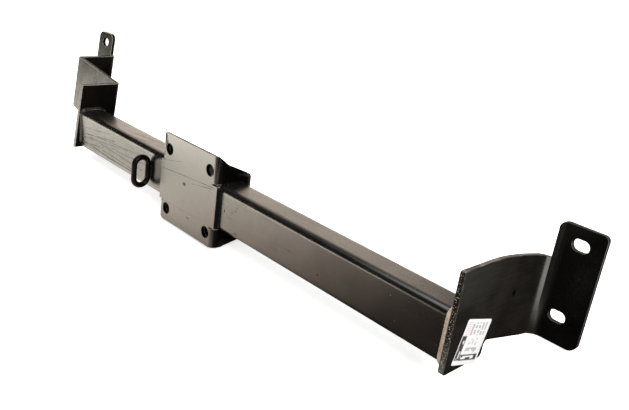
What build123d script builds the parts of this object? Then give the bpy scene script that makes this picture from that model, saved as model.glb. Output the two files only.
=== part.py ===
"""Fixed towbar: a cross tube with a towball saddle, a breakaway eye and two chassis brackets.

Millimetres. X runs across the vehicle, Y runs forward towards the vehicle and Z runs up.
The origin is the centre of the four towball holes, on the rear face of the saddle plate.
"""
import os
from math import atan, cos, degrees, radians, sin

from build123d import *

# Cross tube, a rectangular hollow section
TUBE_HEIGHT = 60.0
TUBE_DEPTH = 40.0
TUBE_WALL = 4.0
TUBE_CORNER_RADIUS = 8.0
TUBE_DROP = 3.5            # mid-height of the tube below the towball holes' centre
TUBE_LEFT_REACH = 302.5    # from the towball holes' centre to each end of the tube
TUBE_RIGHT_REACH = 423.5

# Towball saddle, one folded plate round the tube
SADDLE_PLATE = 6.0
SADDLE_LEFT_REACH = 62.0   # from the towball holes' centre to each wing's outer face
SADDLE_RIGHT_REACH = 61.5
SADDLE_LEFT_BEND_RADIUS = 1.0   # inside of each fold
SADDLE_RIGHT_BEND_RADIUS = 4.0
SADDLE_TOP_MARGIN = 21.5   # from the upper towball holes to the top edge
SADDLE_BOTTOM_MARGIN = 18.0
SADDLE_CORNER_RADIUS = 10.0    # left corners; the right ones run on round the fold
TOWBALL_HOLE = 16.5        # clearance hole for an M16 bolt
TOWBALL_PITCH_ACROSS = 90.0
TOWBALL_PITCH_UP = 85.0
EAR_OVERHANG = 0.5         # how far the unfolded ears stick out past the wings' faces
EAR_SETBACK = 1.5          # ears end this far short of the tube's upper and lower faces
TUBE_CLEARANCE = 0.5       # between the tube and the window that is cut for it
WING_BEHIND_TUBE = 9.0     # how far a wing reaches past the tube's front-facing side
WING_REAR_RISE = 9.0       # wing's rear top corner above the tube's upper face
WING_SHOULDER_DROP = 11.0  # wing's top edge below the saddle's top edge, behind the fold
WING_REAR_LIFT = 8.0       # wing's rear bottom corner above the saddle's bottom edge
WING_REAR_RADIUS = 6.0
WING_UPPER_SWEEP = 14.0    # turn in a wing's top edge, behind the fold
WING_LOWER_SWEEP = 30.0

# Brackets, each folded from one plate
BRACKET_PLATE = 6.0
SLOT_WIDTH = 14.0
SLOT_LENGTH = 20.0
SLOT_PITCH = 85.0
FLANGE_CORNER_RADIUS = 6.0

# Right bracket: a web across the tube's end and a flange that bolts to the chassis
RIGHT_BEND_RADIUS = 15.0   # inside of the fold
WEB_PROUD = 5.0            # web's rear edge behind the tube's rear face, towards the towball
WEB_TOP_RISE = 45.0        # web's top edge above the tube's upper face
WEB_TOP_FALL = 18.8        # how far the top edge falls on its way to the flange
WEB_TOP_MIDWAY_FALL = 7.5  # and half-way there
WEB_FLAT_PAST_TUBE = 20.0  # where the top edge starts to fall, past the tube's far side
WEB_LOBE_DROP = 7.0        # lobe under the tube
WEB_LOBE_PAST_TUBE = 21.5
WEB_LOBE_HEIGHT = 19.5
WEB_LOBE_RADIUS = 5.0
WEB_TOP_SWEEP = 250.0      # radius of the gentle turn where the top edge starts to fall
WEB_TOP_MIDWAY_SWEEP = 400.0
RIGHT_FLANGE_SETBACK = 117.4   # tube's far side to the flange's rear face
RIGHT_FLANGE_WIDTH = 56.2      # out from the web's outer face
RIGHT_UPPER_SLOT_OFFSET = 30.0 # web's outer face to the slot's centre
RIGHT_LOWER_SLOT_OFFSET = 26.0
RIGHT_SLOTS_RISE = 36.5        # centre of the two slots above the tube's mid-height
RIGHT_TOP_MARGIN = 20.1        # upper slot's centre to the flange's top edge
RIGHT_BOTTOM_MARGIN = 31.0
RIGHT_LOWER_RADIUS = 11.0

# Left bracket: end plate, offset plate, return plate and flange, all leaning forward
LEAN_ANGLE = 6.5
LEFT_BEND_RADIUS = 1.5      # inside of each fold
END_PLATE_PROUD = 5.9      # at the tube's mid-height
OFFSET_PLATE_PAST_TUBE = 13.8
OFFSET_PLATE_REACH = 138.0  # tube's end to the return plate's outer face
RETURN_PLATE_DEPTH = 63.8   # between the rear faces of the offset plate and the flange
LEFT_FLANGE_WIDTH = 47.0
LEFT_FLANGE_TOP_RADIUS = 10.0
LEFT_SLOT_OFFSET = 25.0     # return plate's outer face to the slots' centre
LEFT_SLOTS_RISE = 62.0      # centre of the two slots above the tube's mid-height
LEFT_TOP_MARGIN = 16.5
LEFT_BOTTOM_MARGIN = 27.5
END_PLATE_TOP_RISE = 40.0   # end plate's top edge above the tube's upper face
OFFSET_TOP_SLOPE = 15.0     # rise of the top edge out to the return plate
OFFSET_BOTTOM_SLOPE = 32.0  # rise of the bottom edge over the same distance

# Flange and web part company above the fold with a small relief cut
RELIEF_PAST_WEB = 3.0
RIGHT_RELIEF_PAST_WEB = 4.7

# Breakaway eye, a closed link of round bar
EYE_BAR = 8.0
EYE_DEPTH = 30.0            # over the bar, out from the tube
EYE_HEIGHT = 49.0           # over the bar
EYE_OFFSET = 98.0           # left of the towball holes' centre
EYE_CENTRE_DROP = 1.5       # below the tube's mid-height

# Weld beads
WELD_LEG = 4.5              # out from the tube
RIGHT_WELD_RUN = 8.0        # along the tube
LEFT_WELD_RUN = 4.5
WELD_TOE = 0.3              # thickness that a bead keeps at its thin edge
EAR_WELD_LEG = 5.8
WING_WELD_LEG = 3.0
SLIM_WELD_LEG = 2.6
EYE_WELD_LEG = 6.0

# Paper label on the right web, bare
LABEL_WIDTH = 47.5
LABEL_HEIGHT = 50.0
LABEL_THICKNESS = 0.3
LABEL_TURN = 16.5
LABEL_FROM_TUBE_FRONT = 36.4
LABEL_BELOW_TUBE_CENTRE = 11.4
LABEL_CORNER_RADIUS = 1.5

# Places that follow from the sizes above
TUBE_FRONT = SADDLE_PLATE
TUBE_BACK = TUBE_FRONT + TUBE_DEPTH
TUBE_MIDDLE_Y = TUBE_FRONT + TUBE_DEPTH / 2
TUBE_MIDDLE_Z = -TUBE_DROP
TUBE_TOP = TUBE_MIDDLE_Z + TUBE_HEIGHT / 2
TUBE_BOTTOM = TUBE_MIDDLE_Z - TUBE_HEIGHT / 2
TUBE_FLAT = TUBE_HEIGHT / 2 - TUBE_CORNER_RADIUS
SADDLE_TOP = TOWBALL_PITCH_UP / 2 + SADDLE_TOP_MARGIN
SADDLE_BOTTOM = -TOWBALL_PITCH_UP / 2 - SADDLE_BOTTOM_MARGIN
WING_FACES = {-1: SADDLE_LEFT_REACH, 1: SADDLE_RIGHT_REACH}
WING_REAR = TUBE_BACK + WING_BEHIND_TUBE
EAR_EDGES = {side: face + EAR_OVERHANG for side, face in WING_FACES.items()}
EAR_HALF_HEIGHT = TUBE_HEIGHT / 2 - EAR_SETBACK
WEB_INNER = TUBE_RIGHT_REACH
WEB_OUTER = WEB_INNER + BRACKET_PLATE
END_INNER = -TUBE_LEFT_REACH
END_OUTER = END_INNER - BRACKET_PLATE

# A face or a hole that cuts right through is drawn this much longer than the plate
OVERRUN = 10.0
ALL_ROUND = 400.0

ALONG_X = Vector(1, 0, 0)
ALONG_Y = Vector(0, 1, 0)
ALONG_Z = Vector(0, 0, 1)


def prism(plane, direction, corners, start, end):
    """Thicken an outline of (across, up, corner radius) from start to end along a direction."""
    points = [corner[:2] for corner in corners]
    radii = [corner[2] for corner in corners]
    face = make_face(plane * FilletPolyline(*points, radius=radii, close=True))
    return extrude(Location(direction * start) * face, amount=end - start, dir=direction)


def prism_x(corners, start, end):
    """Outline in Y and Z, thickened along X."""
    return prism(Plane.YZ, ALONG_X, corners, start, end)


def prism_y(corners, start, end):
    """Outline in X and Z, thickened along Y."""
    return prism(Plane.XZ, ALONG_Y, corners, start, end)


def prism_z(corners, start, end):
    """Outline in X and Y, thickened along Z."""
    return prism(Plane.XY, ALONG_Z, corners, start, end)


def block(x_from, x_to, y_from, y_to, z_from, z_to):
    """Plain box between two corners."""
    size = (x_to - x_from, y_to - y_from, z_to - z_from)
    middle = ((x_from + x_to) / 2, (y_from + y_to) / 2, (z_from + z_to) / 2)
    return Pos(*middle) * Box(*size)


def tube_profile(x, grow=0.0):
    """Outline of the tube's section at one place along X, offset outwards by grow."""
    section = RectangleRounded(
        TUBE_DEPTH + 2 * grow, TUBE_HEIGHT + 2 * grow, TUBE_CORNER_RADIUS + grow
    )
    plane = Plane(origin=(x, TUBE_MIDDLE_Y, TUBE_MIDDLE_Z), x_dir=(0, 1, 0), z_dir=(1, 0, 0))
    return plane * section


def tube_bar(x_from, x_to, grow=0.0):
    """Solid bar with the tube's outline."""
    return extrude(tube_profile(x_from, grow), amount=x_to - x_from, dir=ALONG_X)


def cross_tube():
    outer = tube_bar(END_INNER, WEB_INNER)
    bore = tube_bar(END_INNER - OVERRUN, WEB_INNER + OVERRUN, -TUBE_WALL)
    return outer - bore


def rear_holes(places, cutter_start, cutter_end, radius):
    """Round cutters along Y at a list of (x, z) places."""
    length = cutter_end - cutter_start
    drill = Rot(-90, 0, 0) * Cylinder(radius, length, align=(Align.CENTER, Align.CENTER, Align.MIN))
    return [Pos(x, cutter_start, z) * drill for x, z in places]


def towball_saddle():
    left, right = -WING_FACES[-1], WING_FACES[1]
    left_bend = SADDLE_LEFT_BEND_RADIUS + SADDLE_PLATE
    right_bend = SADDLE_RIGHT_BEND_RADIUS + SADDLE_PLATE

    outside = [
        (left, 0, left_bend),
        (right, 0, right_bend),
        (right, WING_REAR, 0),
        (left, WING_REAR, 0),
    ]
    inside = [
        (left + SADDLE_PLATE, SADDLE_PLATE, SADDLE_LEFT_BEND_RADIUS),
        (right - SADDLE_PLATE, SADDLE_PLATE, SADDLE_RIGHT_BEND_RADIUS),
        (right - SADDLE_PLATE, WING_REAR + OVERRUN, 0),
        (left + SADDLE_PLATE, WING_REAR + OVERRUN, 0),
    ]
    channel = prism_z(outside, SADDLE_BOTTOM, SADDLE_TOP)
    channel -= prism_z(inside, SADDLE_BOTTOM - OVERRUN, SADDLE_TOP + OVERRUN)

    # Seen from the side, the wings slope down towards the vehicle
    shoulder = SADDLE_PLATE + right_bend
    wing_side = [
        (-OVERRUN, SADDLE_BOTTOM, 0),
        (shoulder, SADDLE_BOTTOM, WING_LOWER_SWEEP),
        (WING_REAR, SADDLE_BOTTOM + WING_REAR_LIFT, WING_REAR_RADIUS),
        (WING_REAR, TUBE_TOP + WING_REAR_RISE, WING_REAR_RADIUS),
        (shoulder, SADDLE_TOP - WING_SHOULDER_DROP, WING_UPPER_SWEEP),
        (SADDLE_PLATE / 2, SADDLE_TOP, 0),
        (-OVERRUN, SADDLE_TOP, 0),
    ]
    channel &= prism_x(wing_side, -ALL_ROUND, ALL_ROUND)

    # Seen from the rear, the left corners are rounded. Behind the fold the wing runs out again
    plate_face = [
        (left, SADDLE_BOTTOM, SADDLE_CORNER_RADIUS),
        (ALL_ROUND, SADDLE_BOTTOM, 0),
        (ALL_ROUND, SADDLE_TOP, 0),
        (left, SADDLE_TOP, SADDLE_CORNER_RADIUS),
    ]
    behind_fold = [
        (left_bend, SADDLE_BOTTOM + SADDLE_CORNER_RADIUS, 0),
        (left_bend + SADDLE_CORNER_RADIUS, SADDLE_BOTTOM, 0),
        (ALL_ROUND, SADDLE_BOTTOM - OVERRUN, 0),
        (ALL_ROUND, SADDLE_TOP + OVERRUN, 0),
        (left_bend + SADDLE_CORNER_RADIUS, SADDLE_TOP, 0),
        (left_bend, SADDLE_TOP - SADDLE_CORNER_RADIUS, 0),
    ]
    channel &= prism_y(plate_face, -OVERRUN, ALL_ROUND) + prism_x(behind_fold, -ALL_ROUND, ALL_ROUND)

    # The tube passes through a window that takes away the folds at its own height
    window = TUBE_HEIGHT / 2 + TUBE_CLEARANCE
    window_side = [
        (SADDLE_PLATE, TUBE_MIDDLE_Z - window, 0),
        (TUBE_BACK + TUBE_CLEARANCE, TUBE_MIDDLE_Z - window, TUBE_CORNER_RADIUS),
        (TUBE_BACK + TUBE_CLEARANCE, TUBE_MIDDLE_Z + window, TUBE_CORNER_RADIUS),
        (SADDLE_PLATE, TUBE_MIDDLE_Z + window, 0),
    ]
    channel -= prism_x(window_side, -ALL_ROUND, ALL_ROUND)
    for side, bend in ((-1, left_bend), (1, right_bend)):
        near, far = sorted((side * (WING_FACES[side] - bend), side * (WING_FACES[side] + OVERRUN)))
        channel -= block(
            near,
            far,
            -OVERRUN,
            SADDLE_PLATE + TUBE_CLEARANCE,
            TUBE_MIDDLE_Z - window,
            TUBE_MIDDLE_Z + window,
        )

    # Flat ears stay in the window's height and carry the side welds
    ears = block(
        -EAR_EDGES[-1],
        EAR_EDGES[1],
        0,
        SADDLE_PLATE,
        TUBE_MIDDLE_Z - EAR_HALF_HEIGHT,
        TUBE_MIDDLE_Z + EAR_HALF_HEIGHT,
    )
    saddle = channel + ears

    across = TOWBALL_PITCH_ACROSS / 2
    up = TOWBALL_PITCH_UP / 2
    places = [(x, z) for x in (-across, across) for z in (-up, up)]
    for cutter in rear_holes(places, -OVERRUN, SADDLE_PLATE + OVERRUN, TOWBALL_HOLE / 2):
        saddle -= cutter
    return saddle


def slot_cutter(x, z, y_from, y_to):
    """Round-ended slot along X, cut through along Y."""
    half = SLOT_LENGTH / 2
    radius = SLOT_WIDTH / 2 - 1e-4
    corners = [
        (x - half, z - SLOT_WIDTH / 2, radius),
        (x + half, z - SLOT_WIDTH / 2, radius),
        (x + half, z + SLOT_WIDTH / 2, radius),
        (x - half, z + SLOT_WIDTH / 2, radius),
    ]
    return prism_y(corners, y_from, y_to)


def right_end_bracket():
    flange_rear = TUBE_BACK + RIGHT_FLANGE_SETBACK
    flange_front = flange_rear + BRACKET_PLATE
    outer_bend = RIGHT_BEND_RADIUS + BRACKET_PLATE
    web_edge = TUBE_FRONT - WEB_PROUD
    flange_edge = WEB_OUTER + RIGHT_FLANGE_WIDTH
    slots_z = TUBE_MIDDLE_Z + RIGHT_SLOTS_RISE
    flange_top = slots_z + SLOT_PITCH / 2 + RIGHT_TOP_MARGIN
    flange_bottom = slots_z - SLOT_PITCH / 2 - RIGHT_BOTTOM_MARGIN

    # Seen from above
    plan = [
        (WEB_INNER, web_edge, 0),
        (WEB_OUTER, web_edge, 0),
        (WEB_OUTER, flange_rear, RIGHT_BEND_RADIUS),
        (flange_edge, flange_rear, 0),
        (flange_edge, flange_front, 0),
        (WEB_INNER, flange_front, outer_bend),
    ]
    folded = prism_z(plan, -ALL_ROUND, ALL_ROUND)

    # Web, seen from the side
    web_top = TUBE_TOP + WEB_TOP_RISE
    fall_start = TUBE_BACK + WEB_FLAT_PAST_TUBE
    fall_middle = (fall_start + flange_rear) / 2
    lobe_bottom = TUBE_BOTTOM - WEB_LOBE_DROP
    lobe_back = TUBE_BACK + WEB_LOBE_PAST_TUBE
    underside = lobe_bottom + WEB_LOBE_HEIGHT
    end = flange_front + OVERRUN
    last_slope = (WEB_TOP_FALL - WEB_TOP_MIDWAY_FALL) / (flange_rear - fall_middle)
    web_side = [
        (web_edge, lobe_bottom, WEB_LOBE_RADIUS),
        (lobe_back, lobe_bottom, WEB_LOBE_RADIUS),
        (lobe_back, underside, WEB_LOBE_RADIUS),
        (flange_rear - RIGHT_BEND_RADIUS, flange_bottom, 0),
        (end, flange_bottom, 0),
        (end, web_top - WEB_TOP_FALL - last_slope * (end - flange_rear), 0),
        (fall_middle, web_top - WEB_TOP_MIDWAY_FALL, WEB_TOP_MIDWAY_SWEEP),
        (fall_start, web_top, WEB_TOP_SWEEP),
        (web_edge, web_top, WEB_LOBE_RADIUS / 2),
    ]
    relief = WEB_OUTER + RIGHT_RELIEF_PAST_WEB
    web = folded & prism_x(web_side, WEB_INNER - OVERRUN, relief + BRACKET_PLATE)

    # Flange, seen from the rear
    flange_face = [
        (relief, flange_bottom, 0),
        (flange_edge, flange_bottom, RIGHT_LOWER_RADIUS),
        (flange_edge, flange_top, FLANGE_CORNER_RADIUS),
        (relief, flange_top, FLANGE_CORNER_RADIUS),
    ]
    flange = folded & prism_y(flange_face, flange_rear - RIGHT_BEND_RADIUS, flange_front + OVERRUN)
    bracket = web + flange
    slots = (
        (RIGHT_LOWER_SLOT_OFFSET, slots_z - SLOT_PITCH / 2),
        (RIGHT_UPPER_SLOT_OFFSET, slots_z + SLOT_PITCH / 2),
    )
    for offset, z in slots:
        bracket -= slot_cutter(WEB_OUTER + offset, z, flange_rear - OVERRUN, flange_front + OVERRUN)
    return bracket


def leaned(shape):
    """Lean a shape forward about the tube's rear face at the tube's mid-height."""
    pivot = Pos(0, TUBE_FRONT, TUBE_MIDDLE_Z)
    return pivot * Rot(-LEAN_ANGLE, 0, 0) * pivot.inverse() * shape


def left_end_bracket():
    rear_edge = TUBE_FRONT - END_PLATE_PROUD
    offset_rear = TUBE_BACK + OFFSET_PLATE_PAST_TUBE
    offset_front = offset_rear + BRACKET_PLATE
    flange_rear = offset_rear + RETURN_PLATE_DEPTH
    flange_front = flange_rear + BRACKET_PLATE
    return_outer = END_INNER - OFFSET_PLATE_REACH
    return_inner = return_outer + BRACKET_PLATE
    flange_edge = return_outer - LEFT_FLANGE_WIDTH
    outer_bend = LEFT_BEND_RADIUS + BRACKET_PLATE

    # Seen along the fold lines
    plan = [
        (END_INNER, rear_edge, 0),
        (END_INNER, offset_front, outer_bend),
        (return_inner, offset_front, LEFT_BEND_RADIUS),
        (return_inner, flange_front, outer_bend),
        (flange_edge, flange_front, 0),
        (flange_edge, flange_rear, 0),
        (return_outer, flange_rear, LEFT_BEND_RADIUS),
        (return_outer, offset_rear, outer_bend),
        (END_OUTER, offset_rear, LEFT_BEND_RADIUS),
        (END_OUTER, rear_edge, 0),
    ]
    folded = leaned(prism_z(plan, -ALL_ROUND, ALL_ROUND))

    # End plate, offset plate and return plate, seen from the rear
    plate_top = TUBE_TOP + END_PLATE_TOP_RISE
    relief = return_outer - RELIEF_PAST_WEB
    bend_end = relief - BRACKET_PLATE
    top_there = plate_top + OFFSET_TOP_SLOPE
    bottom_there = TUBE_BOTTOM + OFFSET_BOTTOM_SLOPE
    plates_face = [
        (END_INNER + OVERRUN, TUBE_BOTTOM, 0),
        (END_INNER + OVERRUN, plate_top, 0),
        (END_OUTER, plate_top, 0),
        (return_inner, top_there, 0),
        (bend_end, top_there, 0),
        (bend_end, bottom_there, 0),
        (return_outer, bottom_there, 0),
        (END_OUTER, TUBE_BOTTOM, 0),
    ]
    plates = folded & prism_y(plates_face, -ALL_ROUND, ALL_ROUND)

    # Flange, seen from the rear; the space for it starts just ahead of the return plate's fold
    slots_z = TUBE_MIDDLE_Z + LEFT_SLOTS_RISE
    flange_top = slots_z + SLOT_PITCH / 2 + LEFT_TOP_MARGIN
    flange_bottom = slots_z - SLOT_PITCH / 2 - LEFT_BOTTOM_MARGIN
    flange_face = [
        (flange_edge, flange_bottom, FLANGE_CORNER_RADIUS),
        (relief, flange_bottom, 0),
        (relief, flange_top, LEFT_FLANGE_TOP_RADIUS),
        (flange_edge, flange_top, LEFT_FLANGE_TOP_RADIUS),
    ]
    flange_room = leaned(
        block(
            flange_edge - OVERRUN,
            return_outer,
            flange_rear - LEFT_BEND_RADIUS,
            flange_front + OVERRUN,
            -ALL_ROUND,
            ALL_ROUND,
        )
    )
    flange = folded & flange_room & prism_y(flange_face, -ALL_ROUND, ALL_ROUND)
    bracket = plates + flange

    x = return_outer - LEFT_SLOT_OFFSET
    lean = radians(LEAN_ANGLE)
    for z in (slots_z - SLOT_PITCH / 2, slots_z + SLOT_PITCH / 2):
        # Height up the leaning flange at which its rear face comes to this level
        above_pivot = (z - TUBE_MIDDLE_Z + (flange_rear - TUBE_FRONT) * sin(lean)) / cos(lean)
        cutter = slot_cutter(
            x, TUBE_MIDDLE_Z + above_pivot, flange_rear - OVERRUN, flange_front + OVERRUN
        )
        bracket -= leaned(cutter)
    return bracket


def breakaway_eye():
    middle_z = TUBE_MIDDLE_Z - EYE_CENTRE_DROP
    half_height = (EYE_HEIGHT - EYE_BAR) / 2
    near = TUBE_FRONT - EYE_BAR / 2
    far = TUBE_FRONT - EYE_DEPTH + EYE_BAR / 2
    turn = (near - far) / 2
    corners = [
        (near, middle_z - half_height),
        (near, middle_z + half_height),
        (far, middle_z + half_height),
        (far, middle_z - half_height),
    ]
    centreline = FilletPolyline(*corners, radius=turn - 1e-4, close=True)
    path = Location((-EYE_OFFSET, 0, 0)) * (Plane.YZ * centreline)
    start = Plane(origin=(-EYE_OFFSET, near, middle_z), z_dir=(0, 0, 1))
    return sweep(start * Circle(EYE_BAR / 2), path=path)


def paper_label():
    face = RectangleRounded(LABEL_WIDTH, LABEL_HEIGHT, LABEL_CORNER_RADIUS)
    plane = Plane(
        origin=(
            WEB_OUTER,
            TUBE_FRONT + LABEL_FROM_TUBE_FRONT,
            TUBE_MIDDLE_Z - LABEL_BELOW_TUBE_CENTRE,
        ),
        x_dir=(0, cos(radians(LABEL_TURN)), -sin(radians(LABEL_TURN))),
        z_dir=(1, 0, 0),
    )
    return extrude(plane * face, amount=LABEL_THICKNESS)


def end_bead(plate_x, inward, run):
    """Ring of weld in the corner between the tube and an end plate, inward along +X or -X."""
    slope = degrees(atan((WELD_LEG - WELD_TOE) / run))
    face = tube_profile(plate_x, WELD_LEG)
    ring = extrude(face, amount=run, dir=(inward, 0, 0), taper=slope)
    return ring - tube_bar(plate_x - OVERRUN, plate_x + OVERRUN)


def bead_part(ring, plate_x, y_range, z_range):
    """Part of a ring of weld between two heights and two depths."""
    reach = max(LEFT_WELD_RUN, RIGHT_WELD_RUN) + OVERRUN
    return ring & block(plate_x - reach, plate_x + reach, *y_range, *z_range)


def end_welds():
    """Weld runs at both ends of the tube, by name."""
    flat_z = (TUBE_MIDDLE_Z - TUBE_FLAT, TUBE_MIDDLE_Z + TUBE_FLAT)
    near_y = (TUBE_FRONT - ALL_ROUND, TUBE_MIDDLE_Y)
    far_y = (TUBE_MIDDLE_Y, TUBE_BACK + ALL_ROUND)
    all_y = (near_y[0], far_y[1])
    above = (flat_z[1], TUBE_TOP + ALL_ROUND)
    below = (TUBE_BOTTOM - ALL_ROUND, flat_z[0])

    right = end_bead(WEB_INNER, -1, RIGHT_WELD_RUN)
    left = end_bead(END_INNER, 1, LEFT_WELD_RUN)
    upper_left_y = (TUBE_FRONT + TUBE_CORNER_RADIUS / 2, far_y[1])

    # The left plate is only a little proud of the tube's rear face, so its bead is slimmer there
    slim = [
        (END_INNER, TUBE_FRONT, 0),
        (END_INNER + LEFT_WELD_RUN, TUBE_FRONT, 0),
        (END_INNER + LEFT_WELD_RUN, TUBE_FRONT - WELD_TOE, 0),
        (END_INNER, TUBE_FRONT - SLIM_WELD_LEG, 0),
    ]
    return {
        "right_weld_rear": bead_part(right, WEB_INNER, near_y, flat_z),
        "right_weld_front": bead_part(right, WEB_INNER, far_y, flat_z),
        "right_weld_top": bead_part(right, WEB_INNER, all_y, above),
        "right_weld_bottom": bead_part(right, WEB_INNER, all_y, below),
        "left_weld_rear": prism_z(slim, *flat_z),
        "left_weld_front": bead_part(left, END_INNER, far_y, flat_z),
        "left_weld_top": bead_part(left, END_INNER, upper_left_y, above),
    }


def saddle_welds():
    """Weld runs that hold the saddle to the tube, by name."""
    tube = tube_bar(-ALL_ROUND, ALL_ROUND)
    wing_from = TUBE_FRONT + TUBE_CORNER_RADIUS
    wing_to = TUBE_BACK - TUBE_CORNER_RADIUS
    runs = {}
    for side, name in ((-1, "left"), (1, "right")):
        edge = side * EAR_EDGES[side]
        ear_run = [
            (edge, TUBE_FRONT + TUBE_CORNER_RADIUS / 2, 0),
            (edge, WELD_TOE, 0),
            (edge + side * WELD_TOE, WELD_TOE, 0),
            (edge + side * EAR_WELD_LEG, TUBE_FRONT - WELD_TOE, 0),
            (edge + side * EAR_WELD_LEG, TUBE_FRONT + TUBE_CORNER_RADIUS / 2, 0),
        ]
        ear_from = TUBE_MIDDLE_Z - EAR_HALF_HEIGHT
        ear_to = TUBE_MIDDLE_Z + EAR_HALF_HEIGHT
        runs[f"saddle_weld_{name}"] = prism_z(ear_run, ear_from, ear_to) - tube
        for level, face, way in (("upper", TUBE_TOP, 1), ("lower", TUBE_BOTTOM, -1)):
            wing = side * WING_FACES[side]
            wing_run = [
                (wing, face, 0),
                (wing + side * WING_WELD_LEG, face, 0),
                (wing + side * WING_WELD_LEG, face + way * WELD_TOE, 0),
                (wing, face + way * WING_WELD_LEG, 0),
            ]
            runs[f"saddle_weld_{level}_{name}"] = prism_y(wing_run, wing_from, wing_to)
    return runs


def eye_welds():
    """Two fillets beside the eye's inner leg, by name."""
    middle_z = TUBE_MIDDLE_Z - EYE_CENTRE_DROP
    half_leg = (EYE_HEIGHT - EYE_DEPTH) / 2
    bar_radius = EYE_BAR / 2
    bar = Pos(-EYE_OFFSET, TUBE_FRONT - bar_radius, middle_z) * Cylinder(bar_radius, EYE_HEIGHT)
    runs = {}
    for side, name in ((-1, "left"), (1, "right")):
        start = -EYE_OFFSET + side * WELD_TOE
        end = -EYE_OFFSET + side * EYE_WELD_LEG
        fillet_run = [
            (start, TUBE_FRONT, 0),
            (end, TUBE_FRONT, 0),
            (start, TUBE_FRONT - abs(end - start), 0),
        ]
        piece = prism_z(fillet_run, middle_z - half_leg, middle_z + half_leg) - bar
        runs[f"eye_weld_{name}"] = piece.solids().sort_by(Axis.Y)[-1]
    return runs


def main():
    pieces = {
        "cross_tube": cross_tube(),
        "towball_saddle": towball_saddle(),
        "right_end_bracket": right_end_bracket(),
        "left_end_bracket": left_end_bracket(),
        "breakaway_eye": breakaway_eye(),
        "paper_label": paper_label(),
    }
    pieces.update(end_welds())
    pieces.update(saddle_welds())
    pieces.update(eye_welds())
    os.makedirs("parts", exist_ok=True)
    for name, shape in pieces.items():
        export_step(shape, f"parts/{name}.step")
        print(name, len(shape.solids()), round(shape.volume), shape.is_valid)


if __name__ == "__main__":
    main()
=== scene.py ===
"""Finish for a fixed towbar: paint, weld beads, paper label and the studio that it is shown in.

Metres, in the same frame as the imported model. X runs across the vehicle, Y forward towards it
and Z up, from the centre of the towball holes on the saddle's rear face.
"""
import math

import bmesh
import bpy
import numpy as np
from bpy.props import FloatProperty, FloatVectorProperty, IntProperty, PointerProperty
from mathutils import Matrix, Vector


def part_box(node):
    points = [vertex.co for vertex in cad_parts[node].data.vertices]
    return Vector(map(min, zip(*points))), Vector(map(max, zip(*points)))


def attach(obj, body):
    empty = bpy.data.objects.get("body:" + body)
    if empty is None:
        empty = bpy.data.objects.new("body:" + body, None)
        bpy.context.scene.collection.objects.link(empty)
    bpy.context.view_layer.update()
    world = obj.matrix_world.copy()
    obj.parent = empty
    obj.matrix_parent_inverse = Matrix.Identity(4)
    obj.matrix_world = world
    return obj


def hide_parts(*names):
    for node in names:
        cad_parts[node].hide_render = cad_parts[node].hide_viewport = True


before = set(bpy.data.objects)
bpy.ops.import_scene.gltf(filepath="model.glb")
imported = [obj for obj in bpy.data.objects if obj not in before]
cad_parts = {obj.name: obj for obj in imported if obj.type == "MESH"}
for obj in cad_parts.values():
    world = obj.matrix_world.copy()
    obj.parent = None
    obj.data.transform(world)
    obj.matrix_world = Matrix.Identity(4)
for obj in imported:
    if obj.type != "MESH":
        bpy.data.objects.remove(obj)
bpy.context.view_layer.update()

bl_info = {
    "name": "Towbar Finish",
    "version": (1, 0, 0),
    "blender": (4, 5, 0),
    "location": "View3D > Sidebar > Towbar",
    "description": "Paints a welded towbar, lays its weld beads and label, and sets up its studio",
    "category": "Object",
}

MM = 0.001

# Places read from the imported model
TUBE_LOW, TUBE_HIGH = (np.array(corner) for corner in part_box("cross_tube"))
EYE_LOW, EYE_HIGH = (np.array(corner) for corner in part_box("breakaway_eye"))
LABEL_LOW, LABEL_HIGH = (np.array(corner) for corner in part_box("paper_label"))
TUBE_MIDDLE = (TUBE_LOW + TUBE_HIGH) / 2
WEB_OUTER = LABEL_LOW[0]


# Settings


class TowbarPaintSettings(bpy.types.PropertyGroup):
    """Colours and gloss of the paint and of what shows through it."""

    paint: FloatVectorProperty(
        name="Paint", description="Satin black paint", subtype="COLOR", size=3,
        min=0.0, max=1.0, default=(0.0052, 0.0046, 0.0038),
    )
    gloss_black: FloatVectorProperty(
        name="Gloss black", description="Thicker paint on welds, folds and the eye",
        subtype="COLOR", size=3, min=0.0, max=1.0, default=(0.0022, 0.0021, 0.0019),
    )
    steel: FloatVectorProperty(
        name="Bare steel", description="Steel where the paint is rubbed off", subtype="COLOR",
        size=3, min=0.0, max=1.0, default=(0.36, 0.32, 0.27),
    )
    rust: FloatVectorProperty(
        name="Rust", description="Light rust on cut edges and welds", subtype="COLOR",
        size=3, min=0.0, max=1.0, default=(0.055, 0.03, 0.018),
    )
    heat_scale: FloatVectorProperty(
        name="Heat scale", description="Pale burnt scale on the end welds", subtype="COLOR",
        size=3, min=0.0, max=1.0, default=(0.8, 0.62, 0.48),
    )
    roughness: FloatProperty(
        name="Roughness", description="Roughness of the satin paint", min=0.05, max=1.0,
        default=0.27,
    )
    shine: FloatProperty(
        name="Shine", description="Refraction index of the paint film", min=1.0, max=2.5,
        default=1.8,
    )


class TowbarEdgeSettings(bpy.types.PropertyGroup):
    """Softened edges of the folded plates."""

    chamfer: FloatProperty(
        name="Chamfer", description="Width taken off the cut edges under the paint",
        unit="LENGTH", min=0.0, default=0.7 * MM,
    )
    steps: IntProperty(
        name="Steps", description="Faces across a softened edge", min=1, max=4, default=1,
    )


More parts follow.
